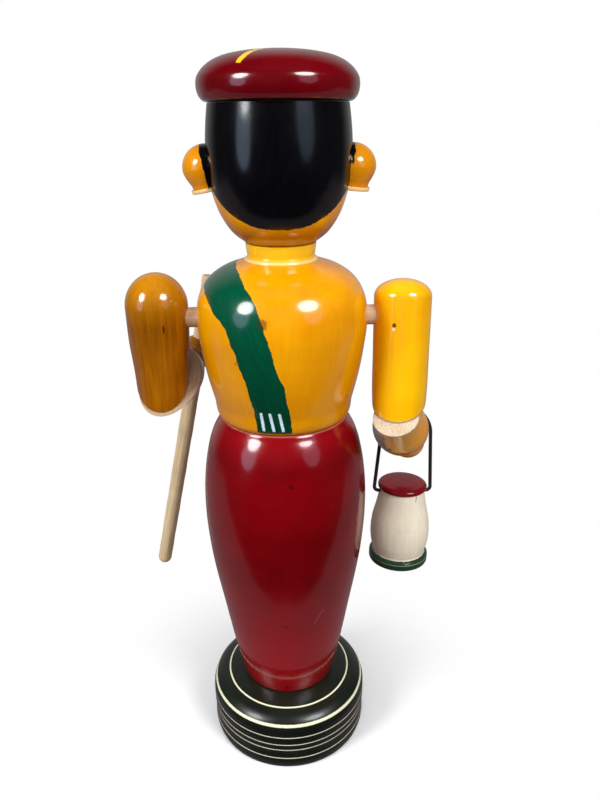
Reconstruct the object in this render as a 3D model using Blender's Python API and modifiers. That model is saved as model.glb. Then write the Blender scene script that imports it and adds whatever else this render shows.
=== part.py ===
"""Wooden farmer figurine: turned, lacquered wood with a walking staff and a lantern on a wire bail.

Frame: metres, +Z up, origin at the centre of the base's underside.  The figure faces -Y, so its
left hand is on the +X side.  Every turned outline is a short list of (height, radius) stations in
millimetres with a smooth curve through them.
"""
import math

import bmesh
import bpy
from mathutils import Matrix, Vector

MM = 0.001
GAP = 0.3  # clearance between pieces that touch, mm
COLLECTION_NAME = "wooden_farmer_figurine"
CUTTER_COLLECTION_NAME = "cutters"

# Turned outlines: (height, radius) in mm, from the bottom up, between the flat ends.
BASE_OUTLINE = ((0.0, 44.6), (1.6, 45.4), (12.0, 45.9), (23.0, 46.2), (28.4, 45.8), (31.1, 44.7),
                (34.4, 41.2), (36.3, 36.2), (38.3, 27.2))
LOWER_BODY_OUTLINE = ((38.6, 26.8), (52.9, 30.1), (88.7, 36.5), (128.8, 42.7), (150.0, 44.1),
                      (168.8, 43.5), (185.5, 40.7), (198.9, 35.9), (206.6, 33.3))
TORSO_OUTLINE = ((206.9, 33.0), (229.0, 38.7), (244.0, 41.2), (257.0, 42.4), (270.0, 40.6),
                 (277.4, 36.1), (282.4, 29.3), (285.6, 20.6))
NECK_OUTLINE = ((287.0, 17.6), (288.2, 16.4), (294.7, 17.1))
HEAD_OUTLINE = ((295.0, 16.9), (299.1, 22.1), (307.4, 27.9), (317.0, 31.4), (327.0, 33.3),
                (338.0, 33.6), (355.9, 31.9))
CAP_OUTLINE = ((356.2, 32.4), (358.2, 35.0), (363.2, 36.3), (368.2, 34.7), (372.2, 30.2),
               (375.4, 21.6), (376.9, 13.0), (377.3, 0.0))

# Ears: little bells, turned whole and then coped to the round of the head.
EAR_AXIS_X = 33.9
EAR_HEIGHT = 328.8
EAR_DOME_RADIUS = 10.8
EAR_WAIST_RADIUS = 8.1
EAR_LIP_RADIUS = 9.1
EAR_LIP_THICKNESS = 2.0
EAR_HALF_HEIGHT = 10.4
LEFT_EAR_LEAN = 11.5  # degrees, lower end inwards
RIGHT_EAR_LEAN = 6.5

# Nose: a small bump carved with the head.
NOSE_HEIGHT = 322.5
HEAD_RADIUS_AT_NOSE = 32.4
NOSE_HALF_WIDTH = 3.4
NOSE_HALF_LENGTH = 6.0
NOSE_PROUD = 4.6

# Shoulder pegs.
PEG_RADIUS = 5.0
PEG_HEIGHT = 258.0
PEG_INNER_X = 34.0
LEFT_PEG_OUTER_X = 54.0
RIGHT_PEG_OUTER_X = 53.0

# Upper arms, each a capsule about a nearly upright axis.
LEFT_ARM_X = 62.1
LEFT_ARM_OUTLINE = ((195.0, 12.6), (216.0, 13.2), (231.0, 13.8), (246.0, 15.0), (264.0, 15.4))
LEFT_ARM_TOP = 280.5
RIGHT_ARM_X = -60.3
RIGHT_ARM_OUTLINE = ((195.4, 9.6), (198.8, 11.8), (204.0, 13.0), (212.0, 13.7), (240.0, 14.2),
                     (267.0, 14.4))
RIGHT_ARM_TOP = 275.8
RIGHT_ARM_LEAN = -0.9  # degrees, lower end inwards
RIGHT_ARM_SWING = 8.0  # degrees, lower end back

# Forearms: distance from the hand's centre towards the elbow, and radius.
WRIST_OUTLINE = ((7.2, 7.5), (11.0, 8.3), (16.0, 9.6), (21.0, 11.4))
LEFT_FOREARM_OUTLINE = ((28.0, 13.8), (36.0, 15.1), (44.0, 15.3), (52.0, 14.5))
RIGHT_FOREARM_OUTLINE = ((28.0, 13.8), (36.0, 14.9), (42.0, 14.6), (48.0, 13.4), (54.0, 12.4),
                         (76.0, 10.5))
HAND_RADIUS = 9.7
LEFT_ELBOW = (61.5, 0.0, 224.8)
RIGHT_ELBOW = (-60.0, 6.4, 212.2)
RIGHT_HAND = (-72.6, -29.8, 172.4)
LEFT_SEAT_SHIFT = (-2.4, 2.8)  # forearm on its elbow cut: along X, then back and down the slope
RIGHT_SEAT_SHIFT = (4.0, 10.8)

# Staff; the left hand is centred on it.
STAFF_TOP = (38.7, -40.0, 270.0)
STAFF_BOTTOM = (79.2, -40.0, 85.0)
STAFF_TOP_RADIUS = 4.4
STAFF_BOTTOM_RADIUS = 4.1
HAND_ALONG_STAFF = 0.768  # of its length, from the lower end
LEFT_HAND = tuple(low + HAND_ALONG_STAFF * (high - low)
                  for low, high in zip(STAFF_BOTTOM, STAFF_TOP))

# Lantern and its wire bail: heights below the top of the bail, which lies over the right wrist.
HANG_POINT = (-70.4, -24.3, 196.0)
LANTERN_LEAN_BACK = 2.5  # degrees, lower end towards the figure's back
LANTERN_LEAN_IN = 1.2  # degrees, lower end towards the body
LANTERN_BOTTOM = -97.2
LANTERN_FOOT_RADIUS = 17.6
LANTERN_FOOT_TOP = -91.7
LANTERN_OUTLINE = ((-90.4, 15.7), (-84.9, 16.9), (-77.9, 17.5), (-69.9, 16.9), (-59.9, 14.7),
                   (-50.6, 13.0))
LANTERN_CAP_OUTLINE = ((-50.2, 13.7), (-49.0, 14.3), (-47.4, 14.2), (-45.9, 13.0), (-45.0, 10.5),
                       (-44.4, 5.5), (-44.2, 0.0))
WIRE_RADIUS = 1.05
BAIL_HOOK_HEIGHT = -52.0
BAIL_HOOK_INNER = 10.4
BAIL_FOOT_HALF_WIDTH = 16.6
BAIL_SHOULDER_HALF_WIDTH = 14.4
BAIL_SHOULDER_HEIGHT = -16.4
BAIL_BEND_RADIUS = 2.6

BIG_SEGMENTS = 32
ARM_SEGMENTS = 20
SMALL_SEGMENTS = 18
LANTERN_SEGMENTS = 24
PEG_SEGMENTS = 16


def make_material(name, color, roughness, metallic=0.0):
    """Return a Principled material of one colour."""
    material = bpy.data.materials.new(name)
    material.use_nodes = True
    shader = material.node_tree.nodes["Principled BSDF"]
    shader.inputs["Base Color"].default_value = (*color, 1.0)
    shader.inputs["Roughness"].default_value = roughness
    shader.inputs["Metallic"].default_value = metallic
    material.diffuse_color = (*color, 1.0)
    return material


def smooth_curve(stations, steps=2):
    """Catmull-Rom curve through the stations, with `steps` spans between neighbours."""
    points = [Vector(station) for station in stations]
    before = points[0] * 2.0 - points[1]
    after = points[-1] * 2.0 - points[-2]
    chain = [before, *points, after]
    curve = []
    for p0, p1, p2, p3 in zip(chain, chain[1:], chain[2:], chain[3:]):
        for step in range(steps):
            t = step / steps
            curve.append(0.5 * (2.0 * p1 + (p2 - p0) * t
                                + (2.0 * p0 - 5.0 * p1 + 4.0 * p2 - p3) * t * t
                                + (3.0 * p1 - 3.0 * p2 + p3 - p0) * t * t * t))
    curve.append(points[-1])
    return [(point.x, point.y) for point in curve]


def quarter_round(base_height, top_height, radius, steps):
    """Quarter ellipse from the side (base_height, radius) up to the axis at top_height."""
    rise = top_height - base_height
    angles = [math.pi / 2.0 * step / steps for step in range(1, steps + 1)]
    return [(base_height + rise * math.sin(a), radius * max(math.cos(a), 0.0)) for a in angles]


def closed_outline(stations):
    """Bottom-up stations, closed to the axis by flat ends where they don't reach it."""
    outline = list(stations)
    if outline[0][1] > 0.01:
        outline.insert(0, (outline[0][0], 0.0))
    if outline[-1][1] > 0.01:
        outline.append((outline[-1][0], 0.0))
    return outline


def turned(name, stations, segments, material, collection):
    """Solid of revolution about local Z from bottom-up (height, radius) stations in mm."""
    outline = closed_outline(stations)
    vertices = [(radius * MM, 0.0, height * MM) for height, radius in reversed(outline)]
    edges = [(i, i + 1) for i in range(len(vertices) - 1)]
    mesh = bpy.data.meshes.new(name)
    mesh.from_pydata(vertices, edges, [])
    mesh.materials.append(material)
    piece = bpy.data.objects.new(name, mesh)
    collection.objects.link(piece)
    screw = piece.modifiers.new("turning", "SCREW")
    screw.axis = "Z"
    screw.angle = math.tau
    screw.steps = segments
    screw.render_steps = segments
    screw.use_merge_vertices = True
    screw.merge_threshold = 0.00001
    screw.use_smooth_shade = True
    return piece


def mm_vector(point):
    """A point given in mm, as a Vector in metres."""
    return Vector(point) * MM


def point_along(piece, origin, direction):
    """Put the piece's local origin at a point and its local +Z along a direction."""
    piece.location = origin
    piece.rotation_mode = "QUATERNION"
    piece.rotation_quaternion = direction.to_track_quat("Z", "Y")


def as_cutter(piece):
    """Mark a piece as a cutting body that isn't part of the object."""
    piece.hide_render = True
    piece.display_type = "WIRE"
    return piece


def add_boolean(piece, tool, operation):
    """Join or cut a piece with another by an exact Boolean."""
    boolean = piece.modifiers.new(operation.lower(), "BOOLEAN")
    boolean.operation = operation
    boolean.solver = "EXACT"
    boolean.object = tool


def round_bar(name, start, end, radius, material, collection, segments=PEG_SEGMENTS):
    """Straight cylinder between two points given in mm."""
    start, end = mm_vector(start), mm_vector(end)
    mesh = bpy.data.meshes.new(name)
    shape = bmesh.new()
    bmesh.ops.create_cone(shape, cap_ends=True, segments=segments, radius1=radius * MM,
                          radius2=radius * MM, depth=(end - start).length)
    shape.to_mesh(mesh)
    shape.free()
    mesh.materials.append(material)
    bar = bpy.data.objects.new(name, mesh)
    collection.objects.link(bar)
    point_along(bar, (start + end) / 2.0, end - start)
    return bar


def block_beyond_plane(name, point, normal, size, material, collection):
    """Cutting block that fills the side of a plane its normal points to."""
    mesh = bpy.data.meshes.new(name)
    shape = bmesh.new()
    bmesh.ops.create_cube(shape, size=size * MM)
    shape.to_mesh(mesh)
    shape.free()
    mesh.materials.append(material)
    block = as_cutter(bpy.data.objects.new(name, mesh))
    collection.objects.link(block)
    point_along(block, mm_vector(point) + normal * size * MM / 2.0, normal)
    return block


def make_collection(name):
    """Return a new collection linked to the scene."""
    collection = bpy.data.collections.new(name)
    bpy.context.scene.collection.children.link(collection)
    return collection


def build_column(parts, cutters, finishes):
    """Base, lower body, torso with its neck, head and cap, stacked; returns the torso."""
    turned("base", BASE_OUTLINE, BIG_SEGMENTS, finishes["black"], parts)
    turned("lower_body", smooth_curve(LOWER_BODY_OUTLINE), BIG_SEGMENTS, finishes["red"], parts)
    torso = turned("torso", [*smooth_curve(TORSO_OUTLINE), *NECK_OUTLINE], BIG_SEGMENTS,
                   finishes["yellow"], parts)
    head = turned("head", smooth_curve(HEAD_OUTLINE), BIG_SEGMENTS, finishes["yellow"], parts)
    turned("cap", smooth_curve(CAP_OUTLINE), BIG_SEGMENTS, finishes["maroon"], parts)
    add_nose(head, cutters, finishes["yellow"])
    return torso


def add_nose(head, cutters, material):
    """Join a small upright ellipsoid to the front of the head."""
    mesh = bpy.data.meshes.new("nose_bump")
    shape = bmesh.new()
    bmesh.ops.create_uvsphere(shape, u_segments=12, v_segments=8, radius=1.0)
    half_sizes = (NOSE_HALF_WIDTH * MM, NOSE_PROUD * MM, NOSE_HALF_LENGTH * MM)
    bmesh.ops.transform(shape, matrix=Matrix.Diagonal((*half_sizes, 1.0)), verts=shape.verts)
    shape.to_mesh(mesh)
    shape.free()
    mesh.materials.append(material)
    bump = as_cutter(bpy.data.objects.new("nose_bump", mesh))
    cutters.objects.link(bump)
    bump.location = mm_vector((0.0, -HEAD_RADIUS_AT_NOSE, NOSE_HEIGHT))
    add_boolean(head, bump, "UNION")


def ear_outline():
    """Bell outline: a dome, a waist and a square lip at its mouth."""
    lip_top = -EAR_HALF_HEIGHT + EAR_LIP_THICKNESS
    flare = smooth_curve(((lip_top, EAR_WAIST_RADIUS), (-5.0, 9.2), (0.0, EAR_DOME_RADIUS)))
    lip = [(-EAR_HALF_HEIGHT, EAR_LIP_RADIUS - 0.3), (lip_top - 0.2, EAR_LIP_RADIUS)]
    return [*lip, *flare, *quarter_round(0.0, EAR_HALF_HEIGHT, EAR_DOME_RADIUS, 5)]


def build_ear(name, side, lean, parts, cutters, finishes):
    """One ear: a bell beside the head, hollowed to the head's round."""
    ear = turned(name, ear_outline(), SMALL_SEGMENTS, finishes["yellow"], parts)
    ear.location = mm_vector((side * EAR_AXIS_X, 0.0, EAR_HEIGHT))
    ear.rotation_euler = (0.0, side * math.radians(lean), 0.0)
    grown = [(height, radius + GAP) for height, radius in smooth_curve(HEAD_OUTLINE)]
    head_round = as_cutter(turned(name + "_cope", grown, BIG_SEGMENTS, finishes["yellow"], cutters))
    add_boolean(ear, head_round, "DIFFERENCE")
    return ear


def build_peg(name, side, outer_x, parts, cutters, finishes):
    """One shoulder peg along X, and the bore that receives it at both ends."""
    inner = (side * PEG_INNER_X, 0.0, PEG_HEIGHT)
    outer = (side * outer_x, 0.0, PEG_HEIGHT)
    round_bar(name, inner, outer, PEG_RADIUS, finishes["bare"], parts)
    bore_inner = (side * (PEG_INNER_X - GAP), 0.0, PEG_HEIGHT)
    bore_outer = (side * (outer_x + GAP), 0.0, PEG_HEIGHT)
    return as_cutter(round_bar(name + "_bore", bore_inner, bore_outer, PEG_RADIUS + GAP,
                               finishes["bare"], cutters))


def elbow_normal(elbow, hand):
    """Normal of the mitre between an upright arm and the forearm, pointing down the forearm."""
    forearm = (Vector(hand) - Vector(elbow)).normalized()
    return (forearm + Vector((0.0, 0.0, -1.0))).normalized()


def build_upper_arm(name, axis_x, outline, top, swing, lean, elbow, hand, parts, cutters,
                    finishes):
    """One upper arm: a capsule with a round top, cut at the elbow's mitre."""
    side_top, side_radius = outline[-1]
    stations = [*smooth_curve(outline), *quarter_round(side_top, top, side_radius, 5)]
    shifted = [(height - PEG_HEIGHT, radius) for height, radius in stations]
    arm = turned(name, shifted, ARM_SEGMENTS, finishes["yellow"], parts)
    arm.location = mm_vector((axis_x, 0.0, PEG_HEIGHT))
    arm.rotation_euler = (math.radians(swing), math.radians(lean), 0.0)
    normal = elbow_normal(elbow, hand)
    point = Vector(elbow) - normal * GAP / 2.0
    block = block_beyond_plane(name + "_elbow_cut", point, normal, 90.0, finishes["yellow"],
                               cutters)
    add_boolean(arm, block, "DIFFERENCE")
    return arm


def forearm_stations(outline):
    """Outline of a forearm, from the ball of the hand up to the elbow end."""
    ball_angles = [math.radians(angle) for angle in (-66.0, -42.0, -18.0, 6.0, 24.0, 40.0)]
    ball = [(HAND_RADIUS * math.sin(a), HAND_RADIUS * math.cos(a)) for a in ball_angles]
    return [(-HAND_RADIUS, 0.0), *ball, *smooth_curve(WRIST_OUTLINE + outline)]


def build_forearm(name, outline, elbow, hand, seat_shift, parts, cutters, finishes):
    """One forearm with its ball hand, turned in one and cut at the elbow's mitre."""
    normal = elbow_normal(elbow, hand)
    slope = (Vector((0.0, 1.0, 0.0)) - normal * normal.y).normalized()
    seat = Vector(elbow) + Vector((seat_shift[0], 0.0, 0.0)) + slope * seat_shift[1]
    forearm = turned(name, forearm_stations(outline), ARM_SEGMENTS, finishes["yellow"], parts)
    point_along(forearm, mm_vector(hand), mm_vector(seat) - mm_vector(hand))
    point = Vector(elbow) + normal * GAP / 2.0
    block = block_beyond_plane(name + "_elbow_cut", point, -normal, 90.0, finishes["yellow"],
                               cutters)
    add_boolean(forearm, block, "DIFFERENCE")
    return forearm


def build_staff(parts, finishes):
    """Walking staff: slightly tapered, cut square at the top and rounded at its lower end."""
    length = (Vector(STAFF_TOP) - Vector(STAFF_BOTTOM)).length
    tip = [(STAFF_BOTTOM_RADIUS * (1.0 - math.cos(a)), STAFF_BOTTOM_RADIUS * math.sin(a))
           for a in (math.radians(angle) for angle in (0.0, 30.0, 60.0, 90.0))]
    staff = turned("staff", [*tip, (length, STAFF_TOP_RADIUS)], PEG_SEGMENTS,
                   finishes["bare"], parts)
    point_along(staff, mm_vector(STAFF_BOTTOM), mm_vector(STAFF_TOP) - mm_vector(STAFF_BOTTOM))
    return staff


def bore_hand_for_staff(forearm, cutters, finishes):
    """Drill the left hand for the staff."""
    axis = (Vector(STAFF_TOP) - Vector(STAFF_BOTTOM)).normalized()
    middle = Vector(LEFT_HAND)
    bore = round_bar("staff_bore", middle - axis * 30.0, middle + axis * 30.0,
                     STAFF_TOP_RADIUS + GAP, finishes["bare"], cutters)
    add_boolean(forearm, as_cutter(bore), "DIFFERENCE")


def lantern_stations():
    """Outline of the lantern: foot ring, bellied body, neck and domed cap."""
    foot = [(LANTERN_BOTTOM, LANTERN_FOOT_RADIUS - 0.7), (LANTERN_BOTTOM + 0.7, LANTERN_FOOT_RADIUS),
            (LANTERN_FOOT_TOP - 0.7, LANTERN_FOOT_RADIUS), (LANTERN_FOOT_TOP, 16.6)]
    return [*foot, *smooth_curve(LANTERN_OUTLINE), *LANTERN_CAP_OUTLINE]


def make_hanger(parts):
    """Empty at the top of the bail, which gives the lantern and the bail their lean."""
    hanger = bpy.data.objects.new("hanger", None)
    parts.objects.link(hanger)
    hanger.location = mm_vector(HANG_POINT)
    hanger.rotation_euler = (math.radians(LANTERN_LEAN_BACK), math.radians(-LANTERN_LEAN_IN), 0.0)
    return hanger


def build_lantern(hanger, parts, cutters, finishes):
    """The lantern, with two small holes in its neck for the bail's hooks."""
    lantern = turned("lantern", lantern_stations(), LANTERN_SEGMENTS, finishes["pale_wood"], parts)
    lantern.parent = hanger
    for side, label in ((-1.0, "outer"), (1.0, "inner")):
        start = (side * (BAIL_HOOK_INNER - GAP), 0.0, BAIL_HOOK_HEIGHT)
        end = (side * 20.0, 0.0, BAIL_HOOK_HEIGHT)
        hole = round_bar(label + "_hook_hole", start, end, WIRE_RADIUS + GAP, finishes["wire"],
                         cutters, segments=10)
        hole.parent = hanger
        add_boolean(lantern, as_cutter(hole), "DIFFERENCE")
    return lantern


def half_bail_route():
    """One half of the bail in its own plane, from the hook's end up to the middle of the arch."""
    foot_x, foot_z = BAIL_FOOT_HALF_WIDTH, BAIL_HOOK_HEIGHT
    route = [(BAIL_HOOK_INNER, foot_z)]
    for step in range(5):
        angle = -math.pi / 2.0 + math.pi / 2.0 * step / 4
        route.append((foot_x + BAIL_BEND_RADIUS * (math.cos(angle) - 1.0),
                      foot_z + BAIL_BEND_RADIUS * (math.sin(angle) + 1.0)))
    for step in range(9):
        angle = math.pi / 2.0 * step / 8
        route.append((BAIL_SHOULDER_HALF_WIDTH * max(math.cos(angle), 0.0),
                      BAIL_SHOULDER_HEIGHT * (1.0 - math.sin(angle))))
    return route


def build_bail(hanger, parts, finishes):
    """Bent steel wire: hooks into the lantern's neck, two legs and an arch over the wrist."""
    half = half_bail_route()
    route = [(-x, z) for x, z in half] + [(x, z) for x, z in reversed(half[:-1])]
    curve = bpy.data.curves.new("lantern_bail", "CURVE")
    curve.dimensions = "3D"
    curve.bevel_depth = WIRE_RADIUS * MM
    curve.bevel_resolution = 2
    curve.use_fill_caps = True
    spline = curve.splines.new("POLY")
    spline.points.add(len(route) - 1)
    for point, (x, z) in zip(spline.points, route):
        point.co = (x * MM, 0.0, z * MM, 1.0)
    curve.materials.append(finishes["wire"])
    bail = bpy.data.objects.new("lantern_bail", curve)
    parts.objects.link(bail)
    bail.parent = hanger
    return bail


def build_arms(torso, parts, cutters, finishes):
    """Pegs, upper arms and forearms of both sides, with the bores that join them."""
    arms = {}
    sides = (("left", 1.0, LEFT_PEG_OUTER_X, LEFT_ARM_X, LEFT_ARM_OUTLINE, LEFT_ARM_TOP, 0.0, 0.0,
              LEFT_FOREARM_OUTLINE, LEFT_ELBOW, LEFT_HAND, LEFT_SEAT_SHIFT),
             ("right", -1.0, RIGHT_PEG_OUTER_X, RIGHT_ARM_X, RIGHT_ARM_OUTLINE, RIGHT_ARM_TOP,
              RIGHT_ARM_SWING, RIGHT_ARM_LEAN, RIGHT_FOREARM_OUTLINE, RIGHT_ELBOW, RIGHT_HAND,
              RIGHT_SEAT_SHIFT))
    for (label, side, peg_outer, axis_x, outline, top, swing, lean, forearm, elbow, hand,
         shift) in sides:
        bore = build_peg(f"{label}_shoulder_peg", side, peg_outer, parts, cutters, finishes)
        arm = build_upper_arm(f"{label}_upper_arm", axis_x, outline, top, swing, lean, elbow, hand,
                              parts, cutters, finishes)
        add_boolean(torso, bore, "DIFFERENCE")
        add_boolean(arm, bore, "DIFFERENCE")
        arms[label] = build_forearm(f"{label}_forearm", forearm, elbow, hand, shift, parts,
                                    cutters, finishes)
    bore_hand_for_staff(arms["left"], cutters, finishes)


def make_finishes():
    """The seven finishes of the figurine."""
    return {"black": make_material("black_lacquer", (0.006, 0.010, 0.007), 0.25),
            "red": make_material("red_lacquer", (0.25, 0.003, 0.010), 0.15),
            "yellow": make_material("yellow_lacquer", (0.86, 0.36, 0.005), 0.18),
            "maroon": make_material("maroon_lacquer", (0.15, 0.002, 0.008), 0.15),
            "bare": make_material("bare_wood", (0.55, 0.38, 0.22), 0.60),
            "pale_wood": make_material("pale_wood", (0.75, 0.62, 0.42), 0.45),
            "wire": make_material("steel_wire", (0.12, 0.11, 0.11), 0.40, 1.0)}


def main():
    """Clear the scene and build every piece."""
    for leftover in list(bpy.data.objects):
        bpy.data.objects.remove(leftover)
    parts = make_collection(COLLECTION_NAME)
    cutters = make_collection(CUTTER_COLLECTION_NAME)
    finishes = make_finishes()
    torso = build_column(parts, cutters, finishes)
    build_ear("left_ear", 1.0, LEFT_EAR_LEAN, parts, cutters, finishes)
    build_ear("right_ear", -1.0, RIGHT_EAR_LEAN, parts, cutters, finishes)
    build_arms(torso, parts, cutters, finishes)
    build_staff(parts, finishes)
    hanger = make_hanger(parts)
    build_lantern(hanger, parts, cutters, finishes)
    build_bail(hanger, parts, finishes)


main()
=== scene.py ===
"""Studio scene of the turned wooden farmer: every piece is re-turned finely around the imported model.

Sizes are in millimetres in the figurine's own frame (+Z up, -Y the way it faces, +X its left hand)
and become metres only when a mesh is made.  Each mesh carries a vertex attribute "lathe" with the
piece's own turning coordinates in millimetres, which the finishes read.
"""
import logging
import math
from dataclasses import dataclass
from enum import Enum

import bpy
import numpy as np
from mathutils import Matrix, Vector


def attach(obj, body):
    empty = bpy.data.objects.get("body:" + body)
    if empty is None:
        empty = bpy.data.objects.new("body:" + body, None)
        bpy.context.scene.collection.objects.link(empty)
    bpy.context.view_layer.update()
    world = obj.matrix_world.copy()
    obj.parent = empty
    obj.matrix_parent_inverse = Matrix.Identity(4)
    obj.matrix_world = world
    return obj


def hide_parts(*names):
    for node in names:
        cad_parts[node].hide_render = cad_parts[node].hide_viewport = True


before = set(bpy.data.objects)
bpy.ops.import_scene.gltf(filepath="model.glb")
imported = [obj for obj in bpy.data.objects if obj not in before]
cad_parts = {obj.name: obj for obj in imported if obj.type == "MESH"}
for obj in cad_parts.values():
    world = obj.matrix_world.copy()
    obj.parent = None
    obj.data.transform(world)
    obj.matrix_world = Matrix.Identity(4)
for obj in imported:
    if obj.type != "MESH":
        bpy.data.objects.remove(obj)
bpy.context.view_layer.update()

LOG = logging.getLogger("farmer")
MM = 0.001
TAU = math.tau
BODY = "root"
LATHE = "lathe"

Stations = tuple[tuple[float, float], ...]
Color = tuple[float, float, float]
Point = tuple[float, float, float]


class Side(Enum):
    """Which hand of the figurine a piece belongs to, with its sign along X."""

    LEFT = 1.0
    RIGHT = -1.0

    @property
    def label(self) -> str:
        """Name of the side, as the CAD nodes spell it."""
        return self.name.lower()


class Slot(Enum):
    """Material slots of the record."""

    BLACK = "black_lacquer"
    RED = "red_lacquer"
    YELLOW = "yellow_lacquer"
    MAROON = "maroon_lacquer"
    BARE = "bare_wood"
    PALE = "pale_wood"
    WIRE = "steel_wire"


# --------------------------------------------------------------------------------------------
# Outlines and grids
# --------------------------------------------------------------------------------------------

def smooth_run(stations: Stations, count: int) -> np.ndarray:
    """Smooth curve through stations, evenly spaced along its length.

    Each span is a cubic Hermite piece over its chord length; the tangent at a station is the
    chord-weighted mean of the slopes on both sides (the slope of a parabola through three points).

    Args:
        stations: (height, radius) pairs in mm.
        count: number of points to return.

    Returns:
        Array of count (height, radius) rows.
    """
    knots = np.asarray(stations, float)
    steps = np.linalg.norm(np.diff(knots, axis=0), axis=1)
    slopes = np.diff(knots, axis=0) / steps[:, None]
    inner = (slopes[:-1] * steps[1:, None] + slopes[1:] * steps[:-1, None])
    inner /= (steps[1:] + steps[:-1])[:, None]
    tangents = np.vstack([slopes[:1], inner, slopes[-1:]])
    local = np.linspace(0.0, 1.0, 33)[:-1]
    span = np.repeat(np.arange(len(steps)), len(local))
    t = np.tile(local, len(steps))[:, None]
    h = steps[span][:, None]
    dense = ((2 * t**3 - 3 * t**2 + 1) * knots[span] + (t**3 - 2 * t**2 + t) * h * tangents[span]
             + (3 * t**2 - 2 * t**3) * knots[span + 1] + (t**3 - t**2) * h * tangents[span + 1])
    return even_run(np.vstack([dense, knots[-1:]]), count)


def even_run(points: np.ndarray, count: int) -> np.ndarray:
    """Resample a polyline at even steps of its length.

    Args:
        points: polyline, one point a row.
        count: number of points to return.

    Returns:
        Array of count rows on the same polyline.
    """
    travel = np.concatenate([[0.0], np.cumsum(np.linalg.norm(np.diff(points, axis=0), axis=1))])
    at = np.linspace(0.0, travel[-1], count)
    return np.stack([np.interp(at, travel, column) for column in points.T], axis=1)


def quarter_round(base: float, top: float, radius: float, count: int) -> np.ndarray:
    """Quarter ellipse from the side (base, radius) to the axis at top: radius times cosine, rise
    times sine of an even angle.

    Args:
        base: height where the round starts.
        top: height where it meets the axis.
        radius: radius at the base.
        count: number of points after the first.

    Returns:
        Array of count (height, radius) rows, without the starting point.
    """
    angle = np.linspace(0.0, TAU / 4.0, count + 1)[1:]
    return np.stack([base + (top - base) * np.sin(angle), radius * np.cos(angle)], axis=1)


def closed_outline(run: np.ndarray, rings: int = 6) -> np.ndarray:
    """Close an outline to the axis with flat ends where it doesn't already reach it.

    Args:
        run: (height, radius) rows from the bottom up.
        rings: rows on each flat end.

    Returns:
        The outline from axis to axis.
    """
    share = np.linspace(0.0, 1.0, rings, endpoint=False)
    parts = [run]
    if run[0, 1] > 0.01:
        parts.insert(0, np.stack([np.full(rings, run[0, 0]), run[0, 1] * share], axis=1))
    if run[-1, 1] > 0.01:
        parts.append(np.stack([np.full(rings, run[-1, 0]), run[-1, 1] * share[::-1]], axis=1))
    outline = np.vstack(parts)
    outline[[0, -1], 1] = 0.0
    return outline


@dataclass(frozen=True)
class Placement:
    """Where a turning's own frame lies: an origin in mm and the directions of its three axes."""

    origin: np.ndarray
    axes: np.ndarray

    @classmethod
    def upright(cls) -> "Placement":
        """The figurine's own frame."""
        return cls(np.zeros(3), np.eye(3))

    @classmethod
    def tilted(cls, origin: Point, about_x: float, about_y: float) -> "Placement":
        """Frame turned first about X, then about Y.

        Args:
            origin: its origin in mm.
            about_x: first angle in degrees.
            about_y: second angle in degrees.

        Returns:
            The frame.
        """
        a, b = math.radians(about_x), math.radians(about_y)
        turn_x = np.array([[1, 0, 0], [0, math.cos(a), -math.sin(a)], [0, math.sin(a), math.cos(a)]])
        turn_y = np.array([[math.cos(b), 0, math.sin(b)], [0, 1, 0], [-math.sin(b), 0, math.cos(b)]])
        return cls(np.array(origin, float), turn_y @ turn_x)

    @classmethod
    def along(cls, start: np.ndarray, end: np.ndarray) -> "Placement":
        """Frame at start whose Z points to end and whose X is square to Y, or to X where Z runs
        along Y.

        Args:
            start: its origin in mm.
            end: a point on its Z axis.

        Returns:
            The frame.
        """
        z_axis = (end - start) / np.linalg.norm(end - start)
        helper = np.array([0.0, 1.0, 0.0]) if abs(z_axis[1]) < 0.95 else np.array([1.0, 0.0, 0.0])
        x_axis = np.cross(helper, z_axis)
        x_axis /= np.linalg.norm(x_axis)
        return cls(np.asarray(start, float), np.stack([x_axis, np.cross(z_axis, x_axis), z_axis], 1))

    def put(self, local: np.ndarray) -> np.ndarray:
        """Points of the piece's own frame, moved to the figurine's frame."""
        return local @ self.axes.T + self.origin


@dataclass(frozen=True)
class CutPlane:
    """A saw cut: a point on it and the unit direction of the side that is sawn off."""

    point: np.ndarray
    normal: np.ndarray

    def height_of(self, points: np.ndarray) -> np.ndarray:
        """Signed distance beyond the cut."""
        return (points - self.point) @ self.normal


def revolve(outline: np.ndarray, around: int) -> np.ndarray:
    """Surface of revolution: each outline row becomes a ring, radius times (sine, cosine) of an
    even angle, at its height.

    Args:
        outline: (height, radius) rows.
        around: points on a ring.

    Returns:
        Array rows x around x 3 in the piece's own frame.
    """
    angle = np.arange(around) * TAU / around
    x = outline[:, 1:2] * np.sin(angle)
    y = outline[:, 1:2] * np.cos(angle)
    return np.stack([x, y, np.broadcast_to(outline[:, :1], x.shape)], axis=2)


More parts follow.
